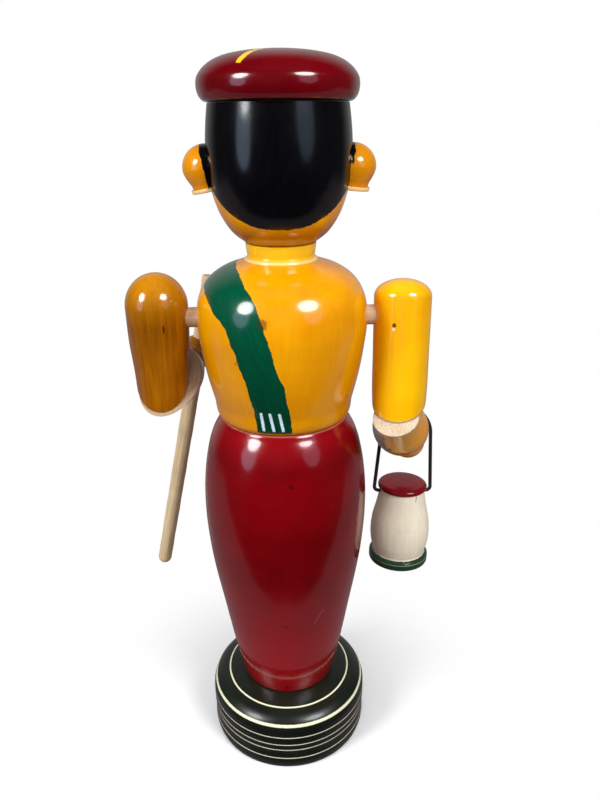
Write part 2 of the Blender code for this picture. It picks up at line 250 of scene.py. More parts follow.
def sawn_turning(outline: np.ndarray, around: int, rows: int, place: Placement,
                 cut: CutPlane, ease: float = 0.35) -> tuple[np.ndarray, int]:
    """Turning whose upper end is sawn off by a slanted plane.

    For each direction round the axis the outline is followed up to where it meets the plane, by
    linear interpolation of the signed distance, and the rows are spread evenly up to there.  The
    sawn face is rings shrinking from that rim to its middle; the rim itself is eased.

    Args:
        outline: (height, radius) rows, from the closed end up past the cut.
        around: points on a ring.
        rows: rows on the turned side.
        place: the piece's frame.
        cut: the saw cut, in the figurine's frame.
        ease: width of the eased rim in mm.

    Returns:
        Grid in the piece's own frame, and the index of the first row on the sawn face.
    """
    fine = even_run(closed_outline(outline), 900)
    grid = revolve(fine, around)
    beyond = cut.height_of(place.put(grid)) > 0.0
    half = len(fine) // 4
    beyond[:half] = False
    first = np.argmax(beyond, axis=0)
    columns = np.arange(around)
    low = cut.height_of(place.put(grid[first - 1, columns]))
    high = cut.height_of(place.put(grid[first, columns]))
    stop = (first - 1) + low / (low - high)
    share = np.linspace(0.0, 1.0, rows)
    at = stop[None, :] * share[:, None]
    height = np.interp(at, np.arange(len(fine)), fine[:, 0])
    radius = np.interp(at, np.arange(len(fine)), fine[:, 1])
    angle = columns * TAU / around
    side = np.stack([radius * np.sin(angle), radius * np.cos(angle), height], axis=2)
    rim = side[-1]
    middle = rim.mean(axis=0)
    reach = np.linalg.norm(rim - middle, axis=1).mean()
    shrink = np.concatenate([[1.0 - ease / reach], np.linspace(0.93, 0.0, 9)])
    face = middle + (rim - middle) * shrink[:, None, None]
    side[-1] = 0.6 * rim + 0.2 * (side[-2] + face[0])
    return np.concatenate([side, face]), rows


def tube(path: np.ndarray, radius: float, around: int) -> np.ndarray:
    """Round wire along a path in the XZ plane: rings of even angle about the path, spanned by the
    Y axis and the path's normal, closed by shrinking end rings.

    Args:
        path: points of the wire's middle line, one a row, in mm.
        radius: wire radius.
        around: points on a ring.

    Returns:
        Grid of rings in the path's frame.
    """
    tangent = np.gradient(path, axis=0)
    tangent /= np.linalg.norm(tangent, axis=1)[:, None]
    across = np.array([0.0, 1.0, 0.0])
    normal = np.cross(tangent, across)
    angle = np.arange(around) * TAU / around
    ring = (np.cos(angle)[None, :, None] * across + np.sin(angle)[None, :, None] * normal[:, None, :])
    grid = path[:, None, :] + radius * ring
    shrink = np.array([0.0, 0.5, 0.85])[:, None, None]
    start = path[0] + (grid[0] - path[0]) * shrink
    end = path[-1] + (grid[-1] - path[-1]) * shrink[::-1]
    return np.concatenate([start, grid, end])


def ring_quads(rings: int, around: int, first: int) -> list[list[int]]:
    """Quads between neighbouring rings.

    Args:
        rings: number of rings.
        around: points on a ring.
        first: index of the first ring's first point.

    Returns:
        Four point indices for each quad.
    """
    ring = np.arange(around)
    after = (ring + 1) % around
    base = first + around * np.arange(rings - 1)[:, None]
    quads = np.stack([base + ring, base + around + ring, base + around + after, base + after], 2)
    return quads.reshape(-1, 4).tolist()


def new_object(name: str, data: bpy.types.ID) -> bpy.types.Object:
    """Object for some data, linked to the scene.

    Args:
        name: object name.
        data: its mesh, light or camera.

    Returns:
        The object.
    """
    made = bpy.data.objects.new(name, data)
    bpy.context.scene.collection.objects.link(made)
    return made


def mesh_from_grid(name: str, local: np.ndarray, place: Placement,
                   sharp_degrees: float = 40.0) -> bpy.types.Object:
    """Closed mesh from a grid of rings whose first and last rings shrink to a point.

    Neighbouring rings are joined by quads and the two end rings become single pole points with
    triangle fans, all wound to face outwards.

    Args:
        name: piece name.
        local: rows x around x 3 grid in the piece's own frame, mm, bottom up.
        place: where that frame lies.
        sharp_degrees: edges steeper than this stay crisp.

    Returns:
        The object, at the origin with its place in its mesh, in metres.
    """
    rows, around = local.shape[:2]
    body = local[1:-1].reshape(-1, 3)
    points = np.vstack([local[0].mean(0)[None], body, local[-1].mean(0)[None]])
    ring = np.arange(around)
    after = (ring + 1) % around
    top = 1 + around * (rows - 3)
    last = len(points) - 1
    fans = np.concatenate([
        np.stack([np.zeros(around, int), 1 + ring, 1 + after], 1),
        np.stack([np.full(around, last), top + after, top + ring], 1)])
    mesh = bpy.data.meshes.new(name)
    world = place.put(points) * MM
    mesh.from_pydata(world.tolist(), [], ring_quads(rows - 2, around, 1) + fans.tolist())
    attribute = mesh.attributes.new(LATHE, "FLOAT_VECTOR", "POINT")
    attribute.data.foreach_set("vector", points.astype(np.float32).ravel())
    mesh.validate()
    mesh.shade_smooth()
    mesh.set_sharp_from_angle(angle=math.radians(sharp_degrees))
    return new_object(name, mesh)


def face_rows(rows: int, around: int) -> np.ndarray:
    """Row index of each face of a grid mesh, in the order in which mesh_from_grid makes them.

    Args:
        rows: rows of the grid.
        around: points on a ring.

    Returns:
        One index a face: the quads' rows, then the two fans'.
    """
    quads = np.repeat(np.arange(1, rows - 2), around)
    return np.concatenate([quads, np.zeros(around, int), np.full(around, rows - 2)])


def dress(piece: bpy.types.Object, node: str, slot: Slot, *materials: bpy.types.Material) -> None:
    """Give a piece its materials and tie it to the CAD node that it stands for.

    Args:
        piece: the finished piece.
        node: the CAD node it replaces.
        slot: the record's material slot; not used.
        materials: finishes, in the order of the mesh's material indices.
    """
    for material in materials:
        piece.data.materials.append(material)
    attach(piece, BODY)
    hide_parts(node)
    LOG.info("%s: %d faces, stands for %s", piece.name, len(piece.data.polygons), node)


# --------------------------------------------------------------------------------------------
# Shader maths
# --------------------------------------------------------------------------------------------

class Signal:
    """A node socket that carries one number and takes part in Python arithmetic."""

    def __init__(self, tree: "Tree", socket: bpy.types.NodeSocket) -> None:
        """Wrap a socket of a tree."""
        self.tree = tree
        self.socket = socket

    def math(self, operation: str, *others: "Signal | float") -> "Signal":
        """Apply a Math node to this signal and others.

        Args:
            operation: Blender's name for the operation.
            others: its further operands.

        Returns:
            The result.
        """
        values = dict(enumerate((self, *others)))
        return self.tree.node("ShaderNodeMath", {"operation": operation}, values)

    def __add__(self, other: "Signal | float") -> "Signal":
        """Sum."""
        return self.math("ADD", other)

    def __sub__(self, other: "Signal | float") -> "Signal":
        """Difference."""
        return self.math("SUBTRACT", other)

    def __rsub__(self, other: float) -> "Signal":
        """Difference from a number."""
        return self.tree.node("ShaderNodeMath", {"operation": "SUBTRACT"}, {0: other, 1: self})

    def __mul__(self, other: "Signal | float") -> "Signal":
        """Product."""
        return self.math("MULTIPLY", other)

    def __truediv__(self, other: "Signal | float") -> "Signal":
        """Quotient."""
        return self.math("DIVIDE", other)

    def __abs__(self) -> "Signal":
        """Absolute value."""
        return self.math("ABSOLUTE")

    def least(self, other: "Signal | float") -> "Signal":
        """Smaller of the two."""
        return self.math("MINIMUM", other)

    def most(self, other: "Signal | float") -> "Signal":
        """Larger of the two."""
        return self.math("MAXIMUM", other)

    def above(self, edge: "Signal | float", soft: float) -> "Signal":
        """Mask of the places where the signal is over an edge.

        Args:
            edge: the value that splits them.
            soft: half-width of the smooth ramp.

        Returns:
            1 over the edge and 0 under it.
        """
        rise = {"interpolation_type": "SMOOTHSTEP", "clamp": True}
        return self.tree.node("ShaderNodeMapRange", rise,
                              {"Value": self - edge, "From Min": -soft, "From Max": soft})

    def below(self, edge: "Signal | float", soft: float) -> "Signal":
        """1 where the signal is under the edge and 0 over it."""
        return 1.0 - self.above(edge, soft)

    def stretch(self, low: float, high: float, to_low: float, to_high: float) -> "Signal":
        """Linear change of range, clamped.

        Args:
            low: value that becomes to_low.
            high: value that becomes to_high.
            to_low: result at low and below.
            to_high: result at high and above.

        Returns:
            The result.
        """
        return self.tree.node("ShaderNodeMapRange", {"clamp": True},
                              {"Value": self, "From Min": low, "From Max": high,
                               "To Min": to_low, "To Max": to_high})


class Tree:
    """A node tree, with one way of adding nodes to it."""

    def __init__(self, nodes: bpy.types.NodeTree) -> None:
        """Empty a tree and take it over."""
        self.nodes = nodes
        nodes.nodes.clear()

    def node(self, kind: str, settings: dict, values: dict, output: int | str = 0) -> Signal:
        """Add a node.

        Args:
            kind: Blender's node type.
            settings: attributes set on the node first.
            values: numbers, colours, sockets or signals for its inputs, by name or index.
            output: which output to return.

        Returns:
            The output as a signal.
        """
        made = self.nodes.nodes.new(kind)
        for key, value in settings.items():
            setattr(made, key, value)
        for key, value in values.items():
            socket = made.inputs[key]
            if isinstance(value, Signal):
                self.nodes.links.new(value.socket, socket)
            elif isinstance(value, bpy.types.NodeSocket):
                self.nodes.links.new(value, socket)
            else:
                socket.default_value = (*value, 1.0) if socket.type == "RGBA" else value
        return Signal(self, made.outputs[output])

    def split(self, vector: bpy.types.NodeSocket) -> tuple[Signal, Signal, Signal]:
        """The three numbers of a vector."""
        parts = self.node("ShaderNodeSeparateXYZ", {}, {0: vector}).socket.node
        return tuple(Signal(self, socket) for socket in parts.outputs)

    def blend(self, mask: Signal | float, under: "Color | Signal", over: "Color | Signal",
              how: str = "MIX") -> Signal:
        """Colour that goes from under to over as the mask goes from 0 to 1.

        Args:
            mask: share of the upper colour.
            under: colour where the mask is 0.
            over: colour laid on it.
            how: Blender's name for the kind of mix.

        Returns:
            The colour.
        """
        return self.node("ShaderNodeMix", {"data_type": "RGBA", "blend_type": how},
                         {0: mask, 6: under, 7: over}, 2)

    def end(self, kind: str, surface: Signal) -> None:
        """Join a shader to the tree's output node."""
        made = self.nodes.nodes.new(kind)
        self.nodes.links.new(surface.socket, made.inputs["Surface"])


class Net(Tree):
    """The node tree of one piece's material, with the piece's turning coordinates."""

    def __init__(self, name: str) -> None:
        """Start a material with an empty tree."""
        self.material = bpy.data.materials.new(name)
        self.material.use_nodes = True
        super().__init__(self.material.node_tree)
        self.lathe = self.node("ShaderNodeAttribute", {"attribute_name": LATHE}, {}, "Vector").socket
        self.x, self.y, self.z = self.split(self.lathe)

    def vector(self, x: Signal | float, y: Signal | float, z: Signal | float) -> bpy.types.NodeSocket:
        """Vector socket from three numbers."""
        return self.node("ShaderNodeCombineXYZ", {}, {0: x, 1: y, 2: z}).socket

    def scaled(self, x: float, y: float, z: float) -> bpy.types.NodeSocket:
        """Turning coordinates with each axis scaled."""
        return self.vector(self.x * x, self.y * y, self.z * z)

    def noise(self, where: bpy.types.NodeSocket, scale: float, detail: float = 3.0,
              roughness: float = 0.55) -> Signal:
        """Noise between 0 and 1 around one half.

        Args:
            where: vector socket to sample at.
            scale: features for each unit of that vector.
            detail: octaves.
            roughness: weight of the finer octaves.

        Returns:
            The noise value.
        """
        return self.node("ShaderNodeTexNoise", {"noise_dimensions": "3D"},
                         {"Vector": where, "Scale": scale, "Detail": detail,
                          "Roughness": roughness})

    def angle(self) -> Signal:
        """Angle round the axis in degrees: 0 at the figurine's back, growing towards +X."""
        return self.x.math("ARCTAN2", self.y) * math.degrees(1.0)

    def radius(self) -> Signal:
        """Distance from the turning's axis."""
        return (self.x * self.x + self.y * self.y).math("SQRT")

    def curve(self, value: Signal, stations: Stations) -> Signal:
        """Smooth function of a signal through (value, result) stations.

        Args:
            value: the signal.
            stations: pairs with rising values.

        Returns:
            The result, held constant beyond the ends.
        """
        spans = np.asarray(stations, float)
        low, high = spans.min(0), spans.max(0)
        share = value.stretch(low[0], high[0], 0.0, 1.0)
        made = self.node("ShaderNodeFloatCurve", {}, {"Value": share}).socket.node
        line = made.mapping.curves[0]
        shares = (spans - low) / (high - low)
        for _ in shares[2:]:
            line.points.new(0.5, 0.5)
        for point, place in zip(line.points, shares):
            point.location = place.tolist()
        made.mapping.update()
        return Signal(self, made.outputs[0]) * float(high[1] - low[1]) + float(low[1])

    def finish(self, color: "Color | Signal", roughness: Signal | float, relief: Signal | None,
               relief_mm: float = 0.1, **constants: "float | Signal") -> bpy.types.Material:
        """Close the tree with a Principled shader.

        Args:
            color: base colour.
            roughness: surface roughness.
            relief: height signal for the bump, or None.
            relief_mm: height of relief 1 in mm.
            constants: values set on the shader's own sockets, with _ for spaces.

        Returns:
            The material.
        """
        values = {"Base Color": color, "Roughness": roughness}
        for key, value in constants.items():
            values[key.replace("_", " ")] = value
        if relief is not None:
            values["Normal"] = self.node("ShaderNodeBump", {},
                                         {"Distance": relief_mm * MM, "Height": relief})
        self.end("ShaderNodeOutputMaterial",
                 self.node("ShaderNodeBsdfPrincipled", {}, values, "BSDF"))
        return self.material


def srgb(red: int, green: int, blue: int) -> Color:
    """Linear colour from display values of 0 to 255."""
    def linear(value: int) -> float:
        """One display value made linear."""
        share = value / 255.0
        return share / 12.92 if share <= 0.04045 else ((share + 0.055) / 1.055) ** 2.4
    return linear(red), linear(green), linear(blue)


# --------------------------------------------------------------------------------------------
# Finishes
# --------------------------------------------------------------------------------------------

@dataclass(frozen=True)
class Lacquer:
    """Glossy stick lacquer rubbed on at the lathe: fine rings, faint grain and a hard clear shine."""

    light: Color
    deep: Color
    grain: float = 0.35
    rings: float = 0.25
    roughness: float = 0.15
    coat: float = 0.4
    ripple_mm: float = 0.035

    def cover(self, net: Net) -> Signal:
        """Colour of the plain lacquer.

        Args:
            net: the material's net.

        Returns:
            The colour signal.
        """
        along = net.noise(net.scaled(1.0, 1.0, 0.06), 0.55, 4.0)
        ring = net.noise(net.scaled(0.05, 0.05, 1.0), 0.9, 4.0, 0.7)
        cloud = net.noise(net.lathe, 0.035, 2.0)
        depth = (along - 0.5) * self.grain + (ring - 0.5) * self.rings + (cloud - 0.5) * 0.9 + 0.5
        return net.blend(depth.stretch(0.1, 0.9, 0.0, 1.0), self.light, self.deep)

    def relief(self, net: Net) -> Signal:
        """Ripples of the lacquer: lathe rings, a slow unevenness and fine grit.

        Args:
            net: the material's net.

        Returns:
            Their height, in units of ripple_mm.
        """
        ring = net.noise(net.scaled(0.02, 0.02, 1.0), 0.45, 3.0, 0.6)
        peel = net.noise(net.lathe, 0.16, 2.0, 0.5)
        grit = net.noise(net.lathe, 1.6, 2.0, 0.6)
        return ring * 0.35 + peel * 1.0 + grit * 0.06

    def close(self, net: Net, color: "Color | Signal", dull: Signal | None = None,
              extra: Signal | None = None, thin: Signal | None = None) -> bpy.types.Material:
        """Finish a net as this lacquer.

        Args:
            net: the material's net.
            color: its colour.
            dull: mask of worn or matt places, or None.
            extra: height added to the ripples, in the ripples' unit, or None.
            thin: mask of places without the clear shine, or None.

        Returns:
            The material.
        """
        smear = net.noise(net.lathe, 0.09, 3.0).stretch(0.35, 0.75, 0.0, 0.05)
        rough = smear + self.roughness
        if dull is not None:
            rough = rough + dull * 0.3
        relief = self.relief(net)
        if extra is not None:
            relief = relief + extra
        coat = self.coat if thin is None else (1.0 - thin) * self.coat
        return net.finish(color, rough, relief, self.ripple_mm, IOR=1.5,
                          Coat_Weight=coat, Coat_Roughness=0.05)


@dataclass(frozen=True)
class BareWood:
    """Unfinished pale wood with grain along the piece."""

    light: Color
    deep: Color
    across: float = 0.9
    roughness: float = 0.62

    def build(self, name: str) -> bpy.types.Material:
        """Make the material.

        Args:
            name: material name.

        Returns:
            The material.
        """
        net = Net(name)
        grain = net.noise(net.scaled(1.0, 1.0, 0.05), self.across, 5.0, 0.65)
        fibre = net.noise(net.scaled(1.0, 1.0, 0.03), 4.0 * self.across, 3.0, 0.6)
        cloud = net.noise(net.lathe, 0.05, 2.0)
        depth = (grain - 0.5) * 1.3 + (fibre - 0.5) * 0.5 + (cloud - 0.5) * 0.8 + 0.45
        color = net.blend(depth.stretch(0.05, 0.95, 0.0, 1.0), self.light, self.deep)
        return net.finish(color, grain * 0.2 + (self.roughness - 0.1), grain + fibre * 0.6, 0.12)


YELLOW = Lacquer(srgb(250, 176, 3), srgb(216, 124, 1), rings=0.1)
LEMON = Lacquer(srgb(255, 198, 4), srgb(236, 152, 2), rings=0.1)
AMBER = Lacquer(srgb(172, 102, 3), srgb(100, 48, 0), grain=0.9, rings=0.06)
RED = Lacquer(srgb(134, 2, 11), srgb(88, 1, 5), grain=0.2, rings=0.15)
MAROON = Lacquer(srgb(118, 1, 12), srgb(80, 1, 7), grain=0.2, rings=0.15)
BLACK = Lacquer(srgb(30, 36, 27), srgb(11, 15, 10), grain=0.2, rings=0.35, roughness=0.3,
                coat=0.1)
RAW_WOOD = BareWood(srgb(228, 214, 190), srgb(168, 140, 108))
# painted shade: a darker copy of the raw wood, for the left elbow's sawn faces, which sit in shade
SHADED_RAW_WOOD = BareWood(srgb(186, 158, 130), srgb(140, 112, 86))
DOWEL = BareWood(srgb(232, 198, 160), srgb(166, 128, 96))
STICK = BareWood(srgb(242, 216, 174), srgb(176, 144, 104), across=0.7)

WHITE = (1.0, 1.0, 1.0)
CREAM = srgb(240, 238, 205)
HAIR_BLACK = srgb(9, 9, 13)
SASH_GREEN = srgb(2, 82, 56)
SASH_DEEP = srgb(0, 40, 24)
CHALK = srgb(205, 226, 234)


# --------------------------------------------------------------------------------------------
# The column: base, body, torso, head and cap
# --------------------------------------------------------------------------------------------

@dataclass(frozen=True)
class RoundBase:
    """Black disc under the figurine, with cream rings drawn at the lathe."""

    outline: Stations = ((0.0, 44.6), (0.5, 45.1), (1.6, 45.5), (12.0, 45.9), (23.0, 46.2),
                         (28.4, 45.8), (31.1, 44.7), (34.4, 41.2), (36.3, 36.2), (38.0, 29.0),
                         (38.4, 26.5))
    side_rings: tuple[float, ...] = (7.8, 14.1, 18.2, 23.6)
    side_ring_half_width: float = 0.3
    shoulder_ring: float = 31.0
    shoulder_ring_half_width: float = 0.72
    top_ring_radius: float = 36.2
    top_ring_half_width: float = 0.42

    def material(self) -> bpy.types.Material:
        """Black lacquer with its cream rings."""
        net = Net("base_lacquer")
        wander = (net.noise(net.vector(net.angle() * 0.02, 0.0, 0.0), 1.0, 2.0) - 0.5) * 0.5
        fray = (net.noise(net.lathe, 1.4, 2.0) - 0.5) * 0.35
        level = net.z + wander + fray
        line = level.below(-100.0, 1.0)
        for height in self.side_rings:
            line = line.most(abs(level - height).below(self.side_ring_half_width, 0.16))
        line = line.most(abs(level - self.shoulder_ring).below(self.shoulder_ring_half_width, 0.2))
        on_top = net.z.above(34.6, 0.1)
        reach = net.radius() + wander
        top = abs(reach - self.top_ring_radius).below(self.top_ring_half_width, 0.16) * on_top
        line = line.most(top)
        worn = net.noise(net.lathe, 0.5, 3.0).stretch(0.62, 0.75, 0.0, 0.35)
        color = net.blend(line * (1.0 - worn), BLACK.cover(net), CREAM)
        return BLACK.close(net, color, extra=line * -1.5)

    def build(self) -> None:
        """Turn and dress the base."""
        outline = closed_outline(smooth_run(self.outline, 110), 10)
        piece = mesh_from_grid("base_disc", revolve(outline, 220), Placement.upright())
        dress(piece, "base", Slot.BLACK, self.material())


@dataclass(frozen=True)
class Mark:
    """Small uneven spot on a turning: angle in degrees, height and radius in mm, and strength."""

    degrees: float
    height: float
    radius: float
    strength: float = 0.6


@dataclass(frozen=True)
class LowerBody:
    """Red lower body, widest below the waist and narrowing to the base."""

    outline: Stations = ((38.6, 26.4), (39.0, 26.8), (41.0, 27.4), (52.9, 30.1), (88.7, 36.5),
                         (128.8, 42.7), (150.0, 44.1), (168.8, 43.6), (185.5, 41.2),
                         (193.5, 39.2), (198.0, 37.5), (201.5, 35.7), (204.5, 33.9),
                         (206.3, 33.0), (206.6, 32.6))
    marks: tuple[Mark, ...] = (Mark(-3.8, 183.4, 1.0), Mark(1.7, 95.3, 1.1), Mark(74.3, 188.7, 1.3),
                               Mark(2.5, 43.4, 1.6), Mark(-63.5, 203.6, 1.4))
    scratch_start: tuple[float, float] = (-22.5, 95.0)
    scratch_end: tuple[float, float] = (-29.5, 103.5)
    # lighter red of the painted table reflection low on the body
    foot_tint: Color = srgb(162, 5, 20)
    # lighter red of the painted light near the waist
    waist_light_tint: Color = srgb(160, 3, 18)
    speck_tint: Color = srgb(60, 6, 10)
    rim_tint: Color = srgb(205, 120, 90)
    mark_tint: Color = srgb(50, 4, 8)
    scratch_tint: Color = srgb(180, 90, 100)

    def material(self) -> bpy.types.Material:
        """Red lacquer with a few chips and scratches, painted light near the waist and a painted
        reflection near the foot.
        """
        net = Net("body_lacquer")
        color = RED.cover(net)
        # painted reflection: a lighter red low on the body stands in for the pale table reflected
        # there
        color = net.blend(net.z.stretch(60.0, 125.0, 0.75, 0.0), color, self.foot_tint)
        # painted light: the upper body, tilted up towards the lamps, is made lighter red towards the
        # waist
        color = net.blend(net.z.stretch(190.0, 205.0, 0.0, 0.5), color, self.waist_light_tint)
        speck = net.noise(net.lathe, 0.55, 1.0).above(0.79, 0.01)
        color = net.blend(speck * 0.6, color, self.speck_tint)
        rim = net.z.above(206.1, 0.25)
        color = net.blend(rim * 0.6, color, self.rim_tint)
        for mark in self.marks:
            spot = paint_spot(net, mark, body_radius=40.0)
            color = net.blend(spot * mark.strength, color, self.mark_tint)
        scratch = paint_stroke(net, self.scratch_start, self.scratch_end, half_width=0.45,
                               body_radius=37.0)
        color = net.blend(scratch * 0.3, color, self.scratch_tint)
        return RED.close(net, color)

    def build(self) -> None:
        """Turn and dress the lower body."""
        outline = closed_outline(smooth_run(self.outline, 190), 6)
        piece = mesh_from_grid("body_turning", revolve(outline, 240), Placement.upright())
        dress(piece, "lower_body", Slot.RED, self.material())


def paint_spot(net: Net, mark: Mark, body_radius: float) -> Signal:
    """Mask of a small uneven spot on a turning.

    Args:
        net: the material's net.
        mark: the spot.
        body_radius: radius of the turning there.

    Returns:
        The mask.
    """
    fray = (net.noise(net.lathe, 1.2, 2.0) - 0.5) * mark.radius
    across = (net.angle() - mark.degrees) * (math.radians(1.0) * body_radius)
    up = net.z - mark.height
    distance = (across * across + up * up).math("SQRT") + fray
    return distance.below(mark.radius, mark.radius * 0.25)


def paint_stroke(net: Net, start: tuple[float, float], end: tuple[float, float], half_width: float,
                 body_radius: float) -> Signal:
    """Mask of a brush stroke between two (angle, height) points: distance to the segment between
    them, worked out on the unrolled surface.

    Args:
        net: the material's net.
        start: angle in degrees and height in mm of one end.
        end: the same of the other end.
        half_width: half the stroke's width in mm.
        body_radius: radius of the turning there.

    Returns:
        The mask.
    """
    arc = math.radians(1.0) * body_radius
    run_x, run_y = (end[0] - start[0]) * arc, end[1] - start[1]
    length = math.hypot(run_x, run_y)
    across = (net.angle() - start[0]) * arc
    up = net.z - start[1]
    along = ((across * run_x + up * run_y) / length).most(0.0).least(length)
    off_x = across - along * (run_x / length)
    off_y = up - along * (run_y / length)
    fray = (net.noise(net.lathe, 0.9, 2.0) - 0.5) * half_width
    return ((off_x * off_x + off_y * off_y).math("SQRT") + fray).below(half_width, 0.14)


@dataclass(frozen=True)
class Sash:
    """Green cloth painted over the left shoulder, down the back and the breast."""

    inner_edge: Stations = ((208.0, -3.4), (216.0, -3.1), (228.0, -1.4), (244.5, 3.3),
                            (262.3, 8.3), (273.5, 12.7), (281.0, 17.6), (286.0, 22.5))
    outer_edge: Stations = ((208.0, 12.9), (218.0, 14.0), (230.0, 16.3), (245.0, 20.8),
                            (261.0, 26.4), (268.0, 32.4), (275.3, 37.6), (286.0, 42.0))
    hem: float = 208.6
    fringe_tops: tuple[float, ...] = (11.0, 6.7, 2.2)
    fringe_feet: tuple[float, ...] = (9.8, 5.0, 0.5)
    fringe_low: float = 210.6
    fringe_high: float = 219.6

    def paint(self, net: Net, under: Signal) -> Signal:
        """Lay the sash over a colour.

        Args:
            net: the torso's net.
            under: the colour below it.

        Returns:
            The colour with the sash.
        """
        wobble = (net.noise(net.scaled(0.0, 1.0, 1.0), 0.12, 2.0) - 0.5) * 3.2
        fray = (net.noise(net.lathe, 0.7, 2.0) - 0.5) * 0.7
        inner = net.curve(net.z, self.inner_edge) + wobble + fray
        outer = net.curve(net.z, self.outer_edge) + wobble * 0.8 - fray
        side = net.x.above(inner, 0.16) * net.x.below(outer, 0.16)
        mask = side * (net.z + fray).above(self.hem, 0.2)
        brush = net.noise(net.vector(net.x - net.z * 0.35, net.y * 0.3, net.z * 0.1), 0.8, 4.0)
        # painted shade: the sash darkens towards its lower end, as the torso does; the brush streaks
        # mixed in are the paint's own
        low = net.z.stretch(215.0, 262.0, 0.45, 0.0)
        green = net.blend(brush.stretch(0.25, 0.85, 0.0, 0.45) + low, SASH_GREEN, SASH_DEEP)
        color = net.blend(mask, under, green)
        return net.blend(self.fringe(net), color, CHALK)

    def fringe(self, net: Net) -> Signal:
        """Short chalky strokes above the hem, on back and breast: distance to the upright segments
        from their feet to their tops.

        Args:
            net: the torso's net.

        Returns:
            The mask.
        """
        mask = net.z.below(-100.0, 1.0)
        rise = self.fringe_high - self.fringe_low
        for top, foot in zip(self.fringe_tops, self.fringe_feet):
            up = (net.z - self.fringe_low).most(0.0).least(rise)
            off_x = net.x - (up * ((top - foot) / rise) + foot)
            off_z = net.z - self.fringe_low - up
            fray = (net.noise(net.lathe, 0.8, 2.0) - 0.5) * 0.5
            distance = (off_x * off_x + off_z * off_z).math("SQRT") + fray
            mask = mask.most(distance.below(0.72, 0.14))
        return mask


@dataclass(frozen=True)
class Torso:
    """Yellow torso with its short neck, and the sash painted on it."""

    outline: Stations = ((206.9, 32.4), (207.3, 33.0), (217.0, 35.8), (229.0, 38.7), (244.0, 41.2),
                         (257.0, 42.4), (270.0, 40.6), (277.4, 36.1), (282.4, 29.3), (285.6, 20.6),
                         (286.4, 17.9))
    neck: Stations = ((286.4, 17.9), (287.1, 17.7), (287.8, 17.0), (288.3, 16.5), (291.0, 16.7),
                      (294.7, 17.1))
    sash: Sash = Sash()
    highlight_ring_height: float = 287.2
    marks: tuple[Mark, ...] = (Mark(31.7, 245.1, 0.9, 0.4), Mark(12.4, 265.0, 2.3, 0.6),
                               Mark(-58.0, 222.0, 1.2, 0.3))
    # darker amber of the painted shade on the lower torso
    lower_shade_tint: Color = srgb(196, 118, 2)
    neck_tint: Color = srgb(255, 208, 40)
    # colour of the painted highlight ring at the foot of the neck
    highlight_ring_tint: Color = srgb(255, 226, 150)
    mark_tint: Color = srgb(60, 46, 20)
    foot_tint: Color = srgb(120, 60, 10)

    def material(self) -> bpy.types.Material:
        """Yellow lacquer with the sash, painted shade towards the bottom, a painted highlight ring at
        the neck and a few smudges.
        """
        net = Net("torso_lacquer")
        color = YELLOW.cover(net)
        # painted shade: the lower torso is darkened towards the waist, where less light falls
        low = net.z.stretch(205.0, 262.0, 1.0, 0.0)
        color = net.blend(low * 0.45, color, self.lower_shade_tint)
        color = net.blend(net.z.above(287.8, 0.4) * 0.6, color, self.neck_tint)
        color = self.sash.paint(net, color)
        # painted highlight: a pale ring where the neck meets the shoulders, standing in for the shine
        # on the fillet
        highlight_ring = abs(net.z - self.highlight_ring_height).below(0.6, 0.3)
        color = net.blend(highlight_ring * 0.75, color, self.highlight_ring_tint)
        for mark in self.marks:
            smudge = paint_spot(net, mark, body_radius=41.0)
            color = net.blend(smudge * mark.strength, color, self.mark_tint)
        foot = net.z.below(207.9, 0.5)
        color = net.blend(foot * 0.5, color, self.foot_tint)
        return YELLOW.close(net, color)

    def build(self) -> None:
        """Turn and dress the torso."""
        run = np.vstack([smooth_run(self.outline, 190)[:-1], smooth_run(self.neck, 26)])
        piece = mesh_from_grid("torso_turning", revolve(closed_outline(run), 240),
                               Placement.upright())
        dress(piece, "torso", Slot.YELLOW, self.material())


